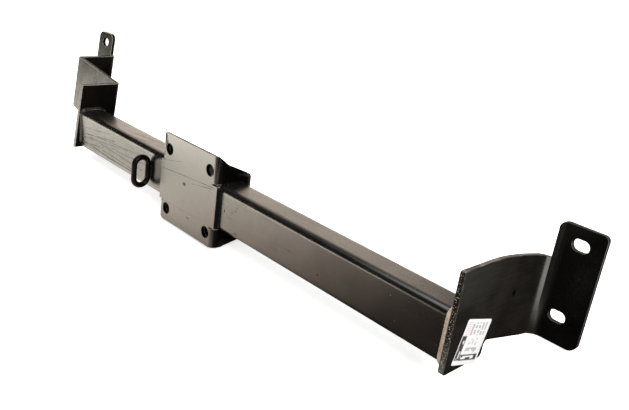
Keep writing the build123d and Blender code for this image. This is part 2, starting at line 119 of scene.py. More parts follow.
class TowbarWeldSettings(bpy.types.PropertyGroup):
    """Weld beads."""

    ripple_pitch: FloatProperty(
        name="Ripple pitch", description="Distance between two ripples of a bead",
        unit="LENGTH", min=0.2 * MM, default=1.9 * MM,
    )
    ripple_depth: FloatProperty(
        name="Ripple depth", description="Depth of a ripple as a share of the bead's leg",
        subtype="FACTOR", min=0.0, max=0.5, default=0.11,
    )
    sample: FloatProperty(
        name="Sample", description="Distance between two rows of a bead's mesh",
        unit="LENGTH", min=0.1 * MM, default=0.3 * MM,
    )


class TowbarLabelSettings(bpy.types.PropertyGroup):
    """Bare paper label on the right web."""

    width: FloatProperty(
        name="Width", description="Width of the label", unit="LENGTH", default=47.5 * MM,
    )
    height: FloatProperty(
        name="Height", description="Height of the label", unit="LENGTH", default=50.0 * MM,
    )
    turn: FloatProperty(
        name="Turn", description="Turn of the label on the web", subtype="ANGLE",
        default=math.radians(16.5),
    )
    paper: FloatVectorProperty(
        name="Paper", description="Colour of the paper", subtype="COLOR", size=3,
        min=0.0, max=1.0, default=(0.86, 0.84, 0.85),
    )
    print_black: FloatVectorProperty(
        name="Print", description="Colour of the plain printed bands", subtype="COLOR", size=3,
        min=0.0, max=1.0, default=(0.035, 0.032, 0.034),
    )


class TowbarStageSettings(bpy.types.PropertyGroup):
    """Camera, floor and light."""

    camera_place: FloatVectorProperty(
        name="Camera place", description="Where the camera stands", subtype="TRANSLATION",
        unit="LENGTH", size=3, default=(0.7334, -0.5364, 0.3427),
    )
    azimuth: FloatProperty(
        name="Azimuth", description="Camera's direction round the towbar", subtype="ANGLE",
        default=math.radians(43.07),
    )
    elevation: FloatProperty(
        name="Elevation", description="Camera's direction above the towbar", subtype="ANGLE",
        default=math.radians(20.72),
    )
    roll: FloatProperty(
        name="Roll", description="Turn of the camera about its own axis", subtype="ANGLE",
        default=math.radians(8.29),
    )
    lens: FloatProperty(
        name="Lens", description="Focal length in millimetres on a 36 mm sensor", min=1.0,
        default=41.48,
    )
    floor_up: FloatVectorProperty(
        name="Floor direction", description="Up as the towbar lies at rest on the floor",
        subtype="DIRECTION", size=3, default=(0.0227, -0.2009, 0.9794),
    )
    floor_level: FloatProperty(
        name="Floor level", description="Height of the floor along its own up direction",
        unit="LENGTH", default=-63.9 * MM,
    )
    floor_colour: FloatVectorProperty(
        name="Floor", description="Pale floor as it lights the towbar", subtype="COLOR", size=3,
        min=0.0, max=1.0, default=(0.4, 0.39, 0.375),
    )
    floor_glow: FloatProperty(
        name="Floor glow", description="White added to the open floor as the camera sees it",
        min=0.0, default=0.82,
    )
    fill_light: FloatProperty(
        name="Fill light", description="Soft lamp on the right, in watts", min=0.0, default=30.0,
    )
    top_light: FloatProperty(
        name="Top light", description="Soft lamp above, in watts", min=0.0, default=20.0,
    )
    room_light: FloatProperty(
        name="Room light", description="Strength of the light from the room itself", min=0.0,
        default=0.5,
    )
    sweep_light: FloatProperty(
        name="Sweep light", description="Bright sweep on the left, as glossy faces see it",
        min=0.0, default=2.95,
    )
    side_glow: FloatProperty(
        name="Side glow", description="Light on the floor at the right, as glossy faces see it",
        min=0.0, default=2.55,
    )
    front_glow: FloatProperty(
        name="Front glow", description="Light on the floor in front, as glossy faces see it",
        min=0.0, default=3.2,
    )
    wall_light: FloatProperty(
        name="Wall light", description="White wall behind, as glossy faces see it", min=0.0,
        default=1.5,
    )


# Shapes, as surfaces of two parameters


def grid_faces(index):
    """Four-cornered faces between the neighbours of a grid of point numbers."""
    corners = (index[:-1, :-1], index[1:, :-1], index[1:, 1:], index[:-1, 1:])
    return np.stack(corners, axis=-1).reshape(-1, 4)


def surface(name, points, material, wrap_rows=False, wrap_columns=False, uv=None):
    """Mesh object of a grid of points in rows and columns.

    Each face joins four neighbours, point (i, j), (i + 1, j), (i + 1, j + 1) and (i, j + 1).
    Rows or columns that wrap join their last line to the first.
    """
    rows, columns = points.shape[:2]
    index = np.arange(rows * columns).reshape(rows, columns)
    if wrap_rows:
        index = np.vstack([index, index[:1]])
    if wrap_columns:
        index = np.hstack([index, index[:, :1]])
    return mesh_object(name, points.reshape(-1, 3), grid_faces(index), material, uv)


def mesh_object(name, points, faces, material, uv=None):
    """Mesh object of points, four-cornered faces and an optional UV per point.

    Points that fall together are merged, and the faces are turned outwards.
    """
    mesh = bpy.data.meshes.new(name)
    mesh.from_pydata(points.tolist(), [], faces.tolist())
    if uv is not None:
        corner_points = np.zeros(len(mesh.loops), dtype=np.int32)
        mesh.loops.foreach_get("vertex_index", corner_points)
        layer = mesh.uv_layers.new(name="Sheet")
        layer.data.foreach_set("uv", uv.reshape(-1, 2)[corner_points].astype(np.float32).ravel())
    work = bmesh.new()
    work.from_mesh(mesh)
    bmesh.ops.remove_doubles(work, verts=work.verts, dist=1e-7)
    bmesh.ops.recalc_face_normals(work, faces=work.faces)
    work.to_mesh(mesh)
    work.free()
    mesh.polygons.foreach_set("use_smooth", np.ones(len(mesh.polygons), dtype=bool))
    mesh.materials.append(material)
    piece = bpy.data.objects.new(name, mesh)
    bpy.context.scene.collection.objects.link(piece)
    return piece


def wander(distance, seed, longest):
    """Slow random wave along a distance: six sines of random phase, ever shorter and weaker."""
    random = np.random.default_rng(seed)
    lengths = longest / np.array([1.0, 1.7, 2.6, 4.1, 6.3, 9.5])
    weights = np.linspace(1.0, 0.4, 6)
    phases = random.uniform(0, 2 * np.pi, 6)
    waves = np.sin(2 * np.pi * distance[:, None] / lengths + phases)
    return (waves * weights).sum(axis=1) / weights.sum()


def smooth_step(value, low, high):
    """Rise from 0 at low to 1 at high, 3 t squared less 2 t cubed."""
    t = np.clip((value - low) / (high - low), 0.0, 1.0)
    return t * t * (3.0 - 2.0 * t)


def bead(name, corner, side_a, side_b, leg_a, leg_b, material, settings, seed, closed=False,
         sink=0.3 * MM):
    """Weld bead in the corner between two faces.

    With s the distance along the corner line and q from 0 to a quarter turn across the bead, a
    point is corner + leg_a * cos(q)^1.5 * side_a + leg_b * sin(q)^1.5 * side_b. Both legs are
    scaled by 1 - depth * saw(s / pitch - sin(2q) / 2)^2, so each ripple is a crescent, and by a
    slow random wave. Towards an open end the legs shrink as the root of the distance left. The
    root lies a little way under both faces.
    """
    columns, flatness, crescent = 15, 1.5, 0.5
    uneven_pitch, uneven_size, end_run, uv_length = 0.55, 0.06, 2.5 * MM, 50 * MM
    steps = np.linalg.norm(np.diff(corner, axis=0), axis=1)
    distance = np.concatenate([[0.0], np.cumsum(steps)])
    across = np.linspace(0.0, np.pi / 2, columns)[None, :]
    drift = wander(distance, seed, longest=23 * MM)[:, None]
    phase = distance[:, None] / settings.ripple_pitch + uneven_pitch * drift
    phase = phase - crescent * np.sin(2 * across)
    saw = phase - np.floor(phase)
    scale = 1.0 - settings.ripple_depth * saw**2
    swell = wander(distance, seed + 50, longest=11 * MM)[:, None]
    scale = scale * (1.0 - uneven_size + uneven_size * swell)
    if not closed:
        left = np.minimum(distance, distance[-1] - distance)
        scale = scale * np.sqrt(np.clip(left / end_run, 0.0, 1.0))[:, None]
    along_a = (scale * leg_a[:, None] * np.cos(across) ** flatness)[..., None] * side_a[:, None, :]
    along_b = (scale * leg_b[:, None] * np.sin(across) ** flatness)[..., None] * side_b[:, None, :]
    skin = corner[:, None, :] + along_a + along_b
    root = corner[:, None, :] - sink * (side_a + side_b)[:, None, :] * scale[:, :1, None]
    points = np.concatenate([skin, root], axis=1)
    over = np.append(across[0] / (np.pi / 2), 0.0)[None, :] + np.zeros((len(distance), 1))
    uv = np.stack([over, distance[:, None] / uv_length + np.zeros_like(over)], axis=-1)
    return surface(name, points, material, wrap_rows=closed, wrap_columns=True, uv=uv)


def straight_bead(name, ends, face, side, leg, material, settings, seed, **more):
    """Bead between two ends, in the corner of a face and of another that looks along X."""
    fewest_rows = 8
    start, end = (np.array(place, float) for place in ends)
    count = max(int(np.linalg.norm(end - start) / settings.sample), fewest_rows)
    corner = start + np.linspace(0.0, 1.0, count)[:, None] * (end - start)
    rows, legs = (count, 1), np.full(count, leg)
    faces = np.tile(face, rows), np.tile([side, 0.0, 0.0], rows)
    return bead(name, corner, *faces, legs, legs, material, settings, seed, **more)


def tube_outline(distance, radius=8 * MM):
    """Place and outward direction on the tube's section at a distance round it.

    The section is a rectangle whose corners are arcs. The arc's centre and its direction both run
    evenly between the eight joints of sides and arcs, from the start of the lower side towards +Y.
    """
    half_y = (TUBE_HIGH[1] - TUBE_LOW[1]) / 2 - radius
    half_z = (TUBE_HIGH[2] - TUBE_LOW[2]) / 2 - radius
    arc = radius * np.pi / 2
    lengths = [2 * half_y, arc, 2 * half_z, arc, 2 * half_y, arc, 2 * half_z, arc]
    joints = np.concatenate([[0.0], np.cumsum(lengths)])
    centre_y = half_y * np.array([-1, 1, 1, 1, 1, -1, -1, -1, -1])
    centre_z = half_z * np.array([-1, -1, -1, 1, 1, 1, 1, -1, -1])
    turn = np.pi / 2 * np.array([-1, -1, 0, 0, 1, 1, 2, 2, 3])
    way = np.interp(distance, joints, turn)
    out = np.stack([np.zeros_like(way), np.cos(way), np.sin(way)], axis=-1)
    place = radius * out
    place[:, 1] += TUBE_MIDDLE[1] + np.interp(distance, joints, centre_y)
    place[:, 2] += TUBE_MIDDLE[2] + np.interp(distance, joints, centre_z)
    return place, out, joints


def tube_bead(name, way, end, side, leg_out, leg_in, material, settings, seed, closed=False):
    """Bead in the corner of the tube and an end plate, at distances round the tube's section."""
    corner, out, _ = tube_outline(way)
    corner[:, 0] = end
    inward = np.tile([side, 0.0, 0.0], (len(way), 1))
    legs = (np.broadcast_to(leg, len(way)) for leg in (leg_out, leg_in))
    return bead(name, corner, out, inward, *legs, material, settings, seed, closed=closed)


def link_surface(centre, half_height, half_depth, bar, rows=160, columns=28):
    """Closed link of round bar in the YZ plane.

    The centre line is a racetrack, two half circles joined by two straight sides. Round it a
    circle of the bar's radius is carried, c + r cos(q) n + r sin(q) x, with n the centre line's
    outward direction and x the X axis. The radius swells by a few hundredths in a slow wave.
    """
    swells, swell_size = 3, 0.02
    turn_radius = half_depth - bar
    side = 2 * (half_height - half_depth)
    arc = np.pi * turn_radius
    joints = np.cumsum([0.0, side, arc, side, arc])
    distance = np.linspace(0.0, joints[-1], rows, endpoint=False)
    middle_z = np.interp(distance, joints, side / 2 * np.array([-1, 1, 1, -1, -1]))
    way = np.interp(distance, joints, np.pi * np.array([0, 0, 1, 1, 2]))
    out = np.stack([np.zeros(rows), np.cos(way), np.sin(way)], axis=-1)
    line = turn_radius * out
    line[:, 2] += middle_z
    round_bar = np.linspace(0.0, 2 * np.pi, columns, endpoint=False)[None, :, None]
    wave = np.sin(2 * np.pi * distance / joints[-1] * swells)[:, None, None]
    ring = np.cos(round_bar) * out[:, None, :] + np.sin(round_bar) * np.array([1.0, 0.0, 0.0])
    return np.array(centre) + line[:, None, :] + bar * (1.0 + swell_size * (wave - 1.0)) * ring


def domes(name, places, out, sizes, heights, material):
    """Little round-topped drops on a face, all in one mesh.

    A drop is place + size * sin(q) * (cos(p) a + sin(p) b) + height * cos(q) * out, with p once
    round and q from the top down to a little under the face, and a and b at right angles to out.
    """
    round_points, down_points, lowest = 9, 5, 0.55 * np.pi
    level = np.abs(out[:, 2:]) < 0.9
    side_a = np.cross(out, np.where(level, [[0.0, 0.0, 1.0]], [[1.0, 0.0, 0.0]]))
    side_a /= np.linalg.norm(side_a, axis=1, keepdims=True)
    side_a, side_b = side_a[:, None, None, :], np.cross(out, side_a)[:, None, None, :]
    round_way = np.linspace(0.0, 2 * np.pi, round_points)[None, None, :, None]
    down = np.linspace(0.0, lowest, down_points)[None, :, None, None]
    ring = np.cos(round_way) * side_a + np.sin(round_way) * side_b
    points = (
        places[:, None, None, :]
        + sizes[:, None, None, None] * np.sin(down) * ring
        + heights[:, None, None, None] * np.cos(down) * out[:, None, None, :]
    )
    count, rows, columns = points.shape[:3]
    faces = grid_faces(np.arange(rows * columns).reshape(rows, columns))
    faces = (faces[None] + (np.arange(count) * rows * columns)[:, None, None]).reshape(-1, 4)
    return mesh_object(name, points.reshape(-1, 3), faces, material)


def label_surface(label):
    """Points and UV of a sheet on the right web.

    A point is centre + a * across + b * up, with a and b drawn in at the corners to an arc, plus
    a height off the web that falls where the sheet hangs past the web's lower edge.
    """
    rows, columns, radius, tiny = 61, 59, 2.2 * MM, 1e-9
    half_width, half_height = label.width / 2, label.height / 2
    a = np.linspace(-half_width, half_width, columns)[None, :] + np.zeros((rows, 1))
    b = np.linspace(-half_height, half_height, rows)[:, None] + np.zeros((1, columns))
    uv = np.stack([a / label.width + 0.5, b / label.height + 0.5], axis=-1)
    over_a = np.maximum(np.abs(a) - (half_width - radius), 0.0)
    over_b = np.maximum(np.abs(b) - (half_height - radius), 0.0)
    reach = np.maximum(over_a, over_b) / np.maximum(np.hypot(over_a, over_b), tiny)
    a = np.sign(a) * (np.minimum(np.abs(a), half_width - radius) + over_a * reach)
    b = np.sign(b) * (np.minimum(np.abs(b), half_height - radius) + over_b * reach)
    across = np.array([0.0, math.cos(label.turn), -math.sin(label.turn)])
    up = np.array([0.0, math.sin(label.turn), math.cos(label.turn)])
    points = (LABEL_LOW + LABEL_HIGH) / 2 + a[..., None] * across + b[..., None] * up
    low_edge, hang_run, lift, sag = -40.5 * MM, 8 * MM, 0.12 * MM, 0.5 * MM
    wave_a, wave_b, wave_start = 9 * MM, 7 * MM, 1.0
    hang = smooth_step(low_edge - points[..., 2], 0.0, hang_run)
    wave = lift * np.sin(a / wave_a + wave_start) * np.sin(b / wave_b)
    points[..., 0] = WEB_OUTER + lift + np.abs(wave) - sag * hang
    return points, uv


# Shader trees


def assign(thing, **values):
    """Set several values of a node, a modifier, a lamp or a camera."""
    for key, value in values.items():
        setattr(thing, key, value)
    return thing


def fill(node, inputs):
    """Set a node's inputs by name or number, or link an output to them."""
    for key, value in inputs.items():
        if isinstance(value, bpy.types.NodeSocket):
            node.id_data.links.new(value, node.inputs[key])
        else:
            node.inputs[key].default_value = value


def put(tree, kind, inputs=None, **values):
    """Add a node, set its values, and set or link its inputs."""
    node = assign(tree.nodes.new(kind), **values)
    fill(node, inputs or {})
    return node


def maths(operation, *values, clamp=False):
    """Maths of one value, or of several in turn, of which the last result can be clamped."""
    tree = next(v for v in values if isinstance(v, bpy.types.NodeSocket)).id_data
    result, others = values[0], values[1:] or (0.0,)
    for number, value in enumerate(others, 1):
        node = put(tree, "ShaderNodeMath", {0: result, 1: value}, operation=operation)
        node.use_clamp = clamp and number == len(others)
        result = node.outputs[0]
    return result


def plus(*values, clamp=False):
    return maths("ADD", *values, clamp=clamp)


def minus(*values, clamp=False):
    return maths("SUBTRACT", *values, clamp=clamp)


def times(*values, clamp=False):
    return maths("MULTIPLY", *values, clamp=clamp)


def largest(*values):
    return maths("MAXIMUM", *values)


def unsigned(value):
    return maths("ABSOLUTE", value)


def vector(operation, first, second=None):
    """Vector maths. A length or a dot product comes out as a value, all else as a vector."""
    inputs = {0: first}
    if second is not None:
        inputs["Scale" if operation == "SCALE" else 1] = second
    node = put(first.id_data, "ShaderNodeVectorMath", inputs, operation=operation)
    return node.outputs["Value" if operation in ("LENGTH", "DOT_PRODUCT") else "Vector"]


def parts(place):
    """X, Y and Z of a vector."""
    return put(place.id_data, "ShaderNodeSeparateXYZ", {0: place}).outputs[:]


def mapped(place, key, value):
    """Vector scaled or turned, as the key says."""
    return put(place.id_data, "ShaderNodeMapping", {"Vector": place, key: value}).outputs[0]


def ramp(value, low, high, to_low=0.0, to_high=1.0, kind="LINEAR"):
    """Straight rise from one level to another as a value goes from low to high."""
    inputs = {"From Min": low, "From Max": high, "To Min": to_low, "To Max": to_high}
    node = put(value.id_data, "ShaderNodeMapRange", inputs, interpolation_type=kind)
    fill(node, {"Value": value})
    return node.outputs[0]


def between(value, *rise):
    """Smooth rise, given as for a ramp."""
    return ramp(value, *rise, kind="SMOOTHSTEP")


def noise(place, scale, detail, roughness=0.5):
    """Fractal noise, 0.5 on the whole."""
    inputs = {"Vector": place, "Scale": scale, "Detail": detail, "Roughness": roughness}
    return put(place.id_data, "ShaderNodeTexNoise", inputs).outputs[0]


def bumped(height, strength, distance):
    """Normal of a face with a height on it."""
    inputs = {"Height": height, "Strength": strength, "Distance": distance}
    return put(height.id_data, "ShaderNodeBump", inputs).outputs[0]


def blend(share, first, second):
    """Colour between two colours."""
    inputs = {0: share, 6: first, 7: second}
    return put(share.id_data, "ShaderNodeMix", inputs, data_type="RGBA").outputs[2]


def shining(kind, tint, strength):
    """Emission or background, as the kind says, with a strength that varies."""
    inputs = {"Color": tint, "Strength": strength}
    return put(strength.id_data, f"ShaderNode{kind}", inputs).outputs[0]


def mixed(share, first, second):
    """Shader between two shaders."""
    inputs = {0: share, 1: first, 2: second}
    return put(share.id_data, "ShaderNodeMixShader", inputs).outputs[0]


def colour(value, share=1.0):
    """Colour as a socket takes it, darkened or lightened by a share."""
    return (*(part * share for part in value), 1.0)


def new_group(name, inputs, outputs=("Mask",)):
    """Empty shader group: the outputs of its input node, and its output node.

    It takes a vector and the named inputs, each of the kind of its default.
    """
    tree = bpy.data.node_groups.new(name, "ShaderNodeTree")

    def socket(title, way, kind):
        return tree.interface.new_socket(title, in_out=way, socket_type=f"NodeSocket{kind}")

    socket("Vector", "INPUT", "Vector")
    for title, default in inputs.items():
        kind = {1: "Float", 3: "Vector", 4: "Color"}[np.size(default)]
        socket(title, "INPUT", kind).default_value = default
    for title in outputs:
        socket(title, "OUTPUT", "Color" if title == "Colour" else "Float")
    return tree.nodes.new("NodeGroupInput").outputs, tree.nodes.new("NodeGroupOutput")


def mill_grain_group():
    """Fine streaks left by rolling: noise stretched along one axis, with a cloudier one over it."""
    given, result = new_group("Mill grain", {"Stretch": (30.0, 700.0, 700.0)}, ("Tone", "Height"))
    place = given["Vector"]
    streaks = noise(mapped(place, "Scale", given["Stretch"]), 1.0, 5.0, 0.62)
    clouds = noise(place, 26.0, 6.0, 0.58)
    pits = noise(place, 900.0, 3.0, 0.6)
    tone = plus(times(streaks, 0.4), times(clouds, 0.6))
    height = plus(times(streaks, 0.5), times(pits, 0.5))
    fill(result, {"Tone": between(tone, 0.3, 0.7), "Height": height})


def long_scratches_group():
    """Long thin drag marks.

    They are the narrow band where a noise stretched along one axis passes its middle, broken up
    by a second noise.
    """
    given, result = new_group("Long scratches", {
        "Turn": (0.0, 0.0, 0.0), "Stretch": (6.0, 180.0, 180.0), "Width": 0.02, "Cover": 0.5,
    })
    turned = mapped(given["Vector"], "Rotation", given["Turn"])
    field = noise(mapped(turned, "Scale", given["Stretch"]), 1.0, 1.5)
    line = ramp(unsigned(minus(field, 0.5)), 0.0, given["Width"], 1.0, 0.0)
    broken = noise(turned, 31.0, 3.0, 0.6)
    kept = ramp(broken, minus(1.0, given["Cover"]), minus(1.08, given["Cover"]))
    fill(result, {"Mask": times(line, kept)})


def scored_line_group():
    """One line scored between two points.

    It is one less the distance to the segment over its half width, on coordinates that a noise
    shakes, and patchy by another noise.
    """
    given, result = new_group("Scored line", {
        "Start": (0.0, 0.0, 0.0), "End": (0.01, 0.0, 0.0), "Width": 0.0006, "Strength": 1.0,
    })
    shake = noise(given["Vector"], 26.0, 1.0).node.outputs["Color"]
    shift = vector("SCALE", vector("SUBTRACT", shake, (0.5, 0.5, 0.5)), 1.6 * MM)
    along = vector("SUBTRACT", given["End"], given["Start"])
    away = vector("SUBTRACT", vector("ADD", given["Vector"], shift), given["Start"])
    dots = vector("DOT_PRODUCT", away, along), vector("DOT_PRODUCT", along, along)
    nearest = vector("SCALE", along, maths("DIVIDE", *dots, clamp=True))
    far = vector("LENGTH", vector("SUBTRACT", away, nearest))
    line = ramp(far, times(given["Width"], 0.25), given["Width"], 1.0, 0.0)
    shown = between(noise(given["Vector"], 90.0, 2.0, 0.6), 0.32, 0.62, 0.35, 1.0)
    fill(result, {"Mask": times(line, shown, given["Strength"], clamp=True)})


def smudge_and_shadow_group():
    """Soft patch round a point: one less the distance over its size, oval and ragged by noise."""
    given, result = new_group("Smudge and shadow", {
        "Centre": (0.0, 0.0, 0.0), "Oval": (1.0, 1.0, 1.0), "Size": 0.003,
    })
    away = vector("SUBTRACT", given["Vector"], given["Centre"])
    far = vector("LENGTH", vector("DIVIDE", away, given["Oval"]))
    ragged = times(minus(noise(given["Vector"], 420.0, 4.0, 0.65), 0.5), 0.5)
    ratio = plus(maths("DIVIDE", far, given["Size"]), ragged)
    fill(result, {"Mask": between(ratio, 0.45, 1.0, 1.0, 0.0)})


def speckle_group():
    """Scattered specks: the middles of random cells, in a share of the cells."""
    given, result = new_group("Speckle", {"Scale": 260.0, "Size": 0.22, "Share": 0.3})
    tree = result.id_data
    inputs = {"Vector": given["Vector"], "Scale": given["Scale"], "Randomness": 1.0}
    cells = put(tree, "ShaderNodeTexVoronoi", inputs).outputs
    speck = ramp(cells["Distance"], times(given["Size"], 0.6), given["Size"], 1.0, 0.0)
    pick = put(tree, "ShaderNodeSeparateColor", {"Color": cells["Color"]}).outputs[0]
    fill(result, {"Mask": times(speck, maths("LESS_THAN", pick, given["Share"]))})


def rust_group():
    """Mottled rust.

    It shows where a coarse noise passes a level set by the amount, and a finer noise colours it
    between dark and light.
    """
    given, result = new_group("Rust bloom", {
        "Amount": 0.5, "Scale": 140.0,
        "Dark": (0.02, 0.013, 0.009, 1.0), "Light": (0.08, 0.045, 0.028, 1.0),
    }, ("Mask", "Colour", "Height"))
    coarse = noise(given["Vector"], given["Scale"], 6.0, 0.65)
    fine = noise(given["Vector"], times(given["Scale"], 4.0), 4.0, 0.6)
    level, soft = minus(1.0, given["Amount"]), 0.08
    fill(result, {
        "Mask": ramp(coarse, minus(level, soft), plus(level, soft)),
        "Colour": blend(between(fine, 0.35, 0.65), given["Dark"], given["Light"]),
        "Height": fine,
    })


GROUP_MAKERS = {
    "Mill grain": mill_grain_group,
    "Long scratches": long_scratches_group,
    "Scored line": scored_line_group,
    "Smudge and shadow": smudge_and_shadow_group,
    "Speckle": speckle_group,
    "Rust bloom": rust_group,
}


def grouped(name, place, **inputs):
    """Outputs of a shared group placed in a material. The group is built the first time."""
    if name not in bpy.data.node_groups:
        GROUP_MAKERS[name]()
    node = put(place.id_data, "ShaderNodeGroup", node_tree=bpy.data.node_groups[name])
    fill(node, {"Vector": place, **{key.title(): value for key, value in inputs.items()}})
    return node.outputs


# Materials


def new_material(name):
    """Material with its shader and output, and the object coordinates."""
    material = bpy.data.materials.new(name)
    material.use_nodes = True
    tree = material.node_tree
    tree.nodes.clear()
    shader = put(tree, "ShaderNodeBsdfPrincipled")
    put(tree, "ShaderNodeOutputMaterial", {"Surface": shader.outputs[0]})
    return material, shader, put(tree, "ShaderNodeTexCoord").outputs["Object"]


def facing(place, kind):
    """Share of the sheen by the way a face looks.

    All faces have it alike, or the rear and front faces alone, or those and fading over the
    folds beside them, or most in the rounded fold of the right bracket. The rear kind also gives
    the share of the painted shade on faces that look along Y.
    """
    if kind == "all":
        return 1.0
    rear_way, fold_way = (0.0, -1.0, 0.0), (0.77, -0.638, 0.0)
    normal = place.node.outputs["Normal"]
    if kind == "fold":
        return between(vector("DOT_PRODUCT", normal, fold_way), 0.9, 0.99, 0.1, 1.0)
    rise = {"rear": (0.86, 0.985), "saddle": (0.5, 0.97)}[kind]
    return between(unsigned(vector("DOT_PRODUCT", normal, rear_way)), *rise)


def metres(point):
    """Point given in millimetres."""
    return tuple(value * MM for value in point)


def painted_steel(name, paint, lines=(), smudges_and_shadows=(), specks=(), grain=(30.0, 700.0, 700.0),
                  scratches=(), cut_faces=None, tone=1.0, roughness=None, spread=0.22,
                  bump=0.12, gloss=0.1, brown=0.25, sheen="all", sheen_level=1.0, depth=0.3,
                  painted_shade_span=None, rear_painted_shade=0.0):
    """Satin black paint over rolled steel, with grain, haze, drag marks and what the piece adds.

    A clear sheen lies over the dark paint. The grain thins it by depth and marks rub it off and
    darken the colour; some marks are painted shadow and painted shade. lines are (start, end,
    half width, strength) in millimetres, patches of smudge and of painted shadow (centre, oval,
    size, strength), specks (scale, size, share, brightness), scratches (turn, stretch, width,
    cover, strength). cut_faces makes the mask, colour and height of worn cut faces. The last two
    arguments are painted shade: half the length round X = 0 that is darkened and loses its sheen,
    and the share by which the colour of faces that look along Y is darkened.
    """
    material, shader, place = new_material(name)
    rolled = grouped("Mill grain", place, stretch=grain)
    haze = between(noise(place, 9.0, 7.0, 0.6), 0.3, 0.72)

    darkest, lightest, dust = 0.55, 1.75, (2.6, 2.0, 1.6)
    dark, pale = colour(paint.paint, darkest * tone), colour(paint.paint, lightest * tone)
    warm = [min(c * k * tone, 1.0) for c, k in zip(paint.paint, dust)]
    base = blend(times(haze, brown), blend(rolled["Tone"], dark, pale), colour(warm))
    level = roughness or paint.roughness
    rough = between(haze, 0.0, 1.0, level - spread / 2, level + spread / 2)
    rough = plus(rough, times(minus(rolled["Tone"], 0.5), spread / 2))
    height = rolled["Height"]
    film = between(rolled["Tone"], 0.0, 1.0, sheen_level * (1.0 - depth), sheen_level)

    marks = []
    for turn, stretch, width, cover, strength in scratches:
        drag = {"turn": turn, "stretch": stretch, "width": width, "cover": cover}
        marks.append(times(grouped("Long scratches", place, **drag)["Mask"], strength))
    for start, end, width, strength in lines:
        line = {"start": metres(start), "end": metres(end), "width": width * MM}
        marks.append(grouped("Scored line", place, strength=strength, **line)["Mask"])
    for centre, oval, size, strength in smudges_and_shadows:
        patch = grouped("Smudge and shadow", place, centre=metres(centre), oval=oval, size=size * MM)
        marks.append(times(patch["Mask"], strength))
    # Painted shade: round X = 0 the colour is darkened and the sheen taken away
    if painted_shade_span:
        fade = 2 * MM
        along = unsigned(parts(place)[0])
        marks.append(between(along, painted_shade_span - fade, painted_shade_span + fade, 1.0, 0.0))
    # Painted shade: the colour of faces that look along Y is darkened towards black by a share
    if rear_painted_shade:
        base = blend(times(facing(place, "rear"), rear_painted_shade), base, colour((0.0, 0.0, 0.0)))
    # Marks are wear, but also painted shadow and painted shade: they darken and take the sheen
    if marks:
        mark_tone, mark_rough, mark_depth = 0.5, 0.42, 0.8
        worn = largest(*marks)
        base = blend(worn, base, colour(paint.gloss_black, mark_tone))
        rough = plus(rough, times(worn, mark_rough), clamp=True)
        height = minus(height, times(worn, mark_depth))
        film = times(film, minus(1.0, worn, clamp=True))
    for scale, size, share, bright in specks:
        speck = grouped("Speckle", place, scale=scale, size=size, share=share)["Mask"]
        base = blend(times(speck, bright), base, colour(paint.steel))
    if cut_faces:
        cut_rough, cut_height = 0.55, 2.2
        mask, edge, edge_height = cut_faces(place, paint)
        base = blend(mask, base, edge)
        rough = largest(rough, times(mask, cut_rough))
        height = plus(height, times(edge_height, mask, cut_height))
    normal = bumped(height, bump, 0.4 * MM)
    fill(shader, {
        "Base Color": base, "Roughness": rough, "Specular IOR Level": gloss, "Normal": normal,
        "Coat Weight": times(film, facing(place, sheen), clamp=True), "Coat Normal": normal,
        "Coat IOR": paint.shine, "Coat Roughness": paint.roughness,
    })
    return material


def saddle_cut_faces(place, paint):
    """Mask, colour and height of the saddle's top cut face, worn pale near its flat face."""
    _, forward, up = parts(place)
    near = times(between(forward, 14 * MM, 26 * MM, 1.0, 0.0), between(up, 54 * MM, 57 * MM))
    upper = between(parts(place.node.outputs["Normal"])[2], 0.4, 0.6)
    worn = noise(place, 90.0, 6.0, 0.65)
    thin, bare = colour((0.05, 0.046, 0.04)), colour((0.21, 0.195, 0.17))
    return times(upper, near), blend(between(worn, 0.38, 0.62), thin, bare), worn


def right_cut_faces(place, paint):
    """Mask, colour and height of the right bracket's cut faces.

    The one that faces the towball has flecked dark rust and the upper ones thin worn paint.
    """
    _, forward, up = parts(place)
    rear = between(forward, 1.6 * MM, 2.4 * MM, 1.0, 0.0)
    upper = between(parts(place.node.outputs["Normal"])[2], 0.5, 0.7)

    tones = {"dark": colour(paint.rust, 0.12), "light": colour(paint.rust, 0.45)}
    rust = grouped("Rust bloom", place, amount=0.5, scale=170.0, **tones)
    flecks = grouped("Speckle", place, scale=1000.0, size=0.5, share=0.3)["Mask"]
    chips = grouped("Speckle", place, scale=620.0, size=0.45, share=0.4)["Mask"]
    foot = between(up, -28 * MM, 5 * MM, 1.0, 0.0)
    dark = blend(foot, colour(paint.paint, 2.0), colour((0.15, 0.138, 0.12)))
    dark = blend(times(rust["Mask"], minus(1.0, times(foot, 0.4))), dark, rust["Colour"])
    dark = blend(times(chips, 0.4), dark, colour((0.2, 0.18, 0.155)))
    dark = blend(times(flecks, 0.8), dark, colour((0.58, 0.55, 0.49)))

    thin, bare = colour((0.07, 0.063, 0.052)), colour((0.2, 0.182, 0.155))
    pale = blend(between(noise(place, 60.0, 6.0, 0.6), 0.35, 0.65), thin, bare)
    pale = blend(between(forward, 80 * MM, 160 * MM), pale, colour((0.05, 0.045, 0.038)))
    return largest(rear, upper), blend(rear, pale, dark), rust["Height"]


def rubbed_edge(name, paint, share=0.55, pale=None):
    """Paint worn thin along a rounded edge: bare metal through the paint where a noise is high."""
    material, shader, place = new_material(name)
    level, under, over = 1.0 - share, 0.07, 0.09
    fine = noise(place, 130.0, 7.0, 0.7)
    both = plus(times(fine, 0.6), times(noise(place, 22.0, 3.0), 0.4))
    bare = between(both, level - under, level + over)
    metal = colour(pale) if pale else colour(paint.steel, 0.6)
    fill(shader, {
        "Base Color": blend(bare, colour(paint.paint), metal),
        "Roughness": between(fine, 0.3, 0.7, 0.34, 0.55),
        "Specular IOR Level": 0.6,
        "Normal": bumped(fine, 0.25, 0.3 * MM),
    })
    return material


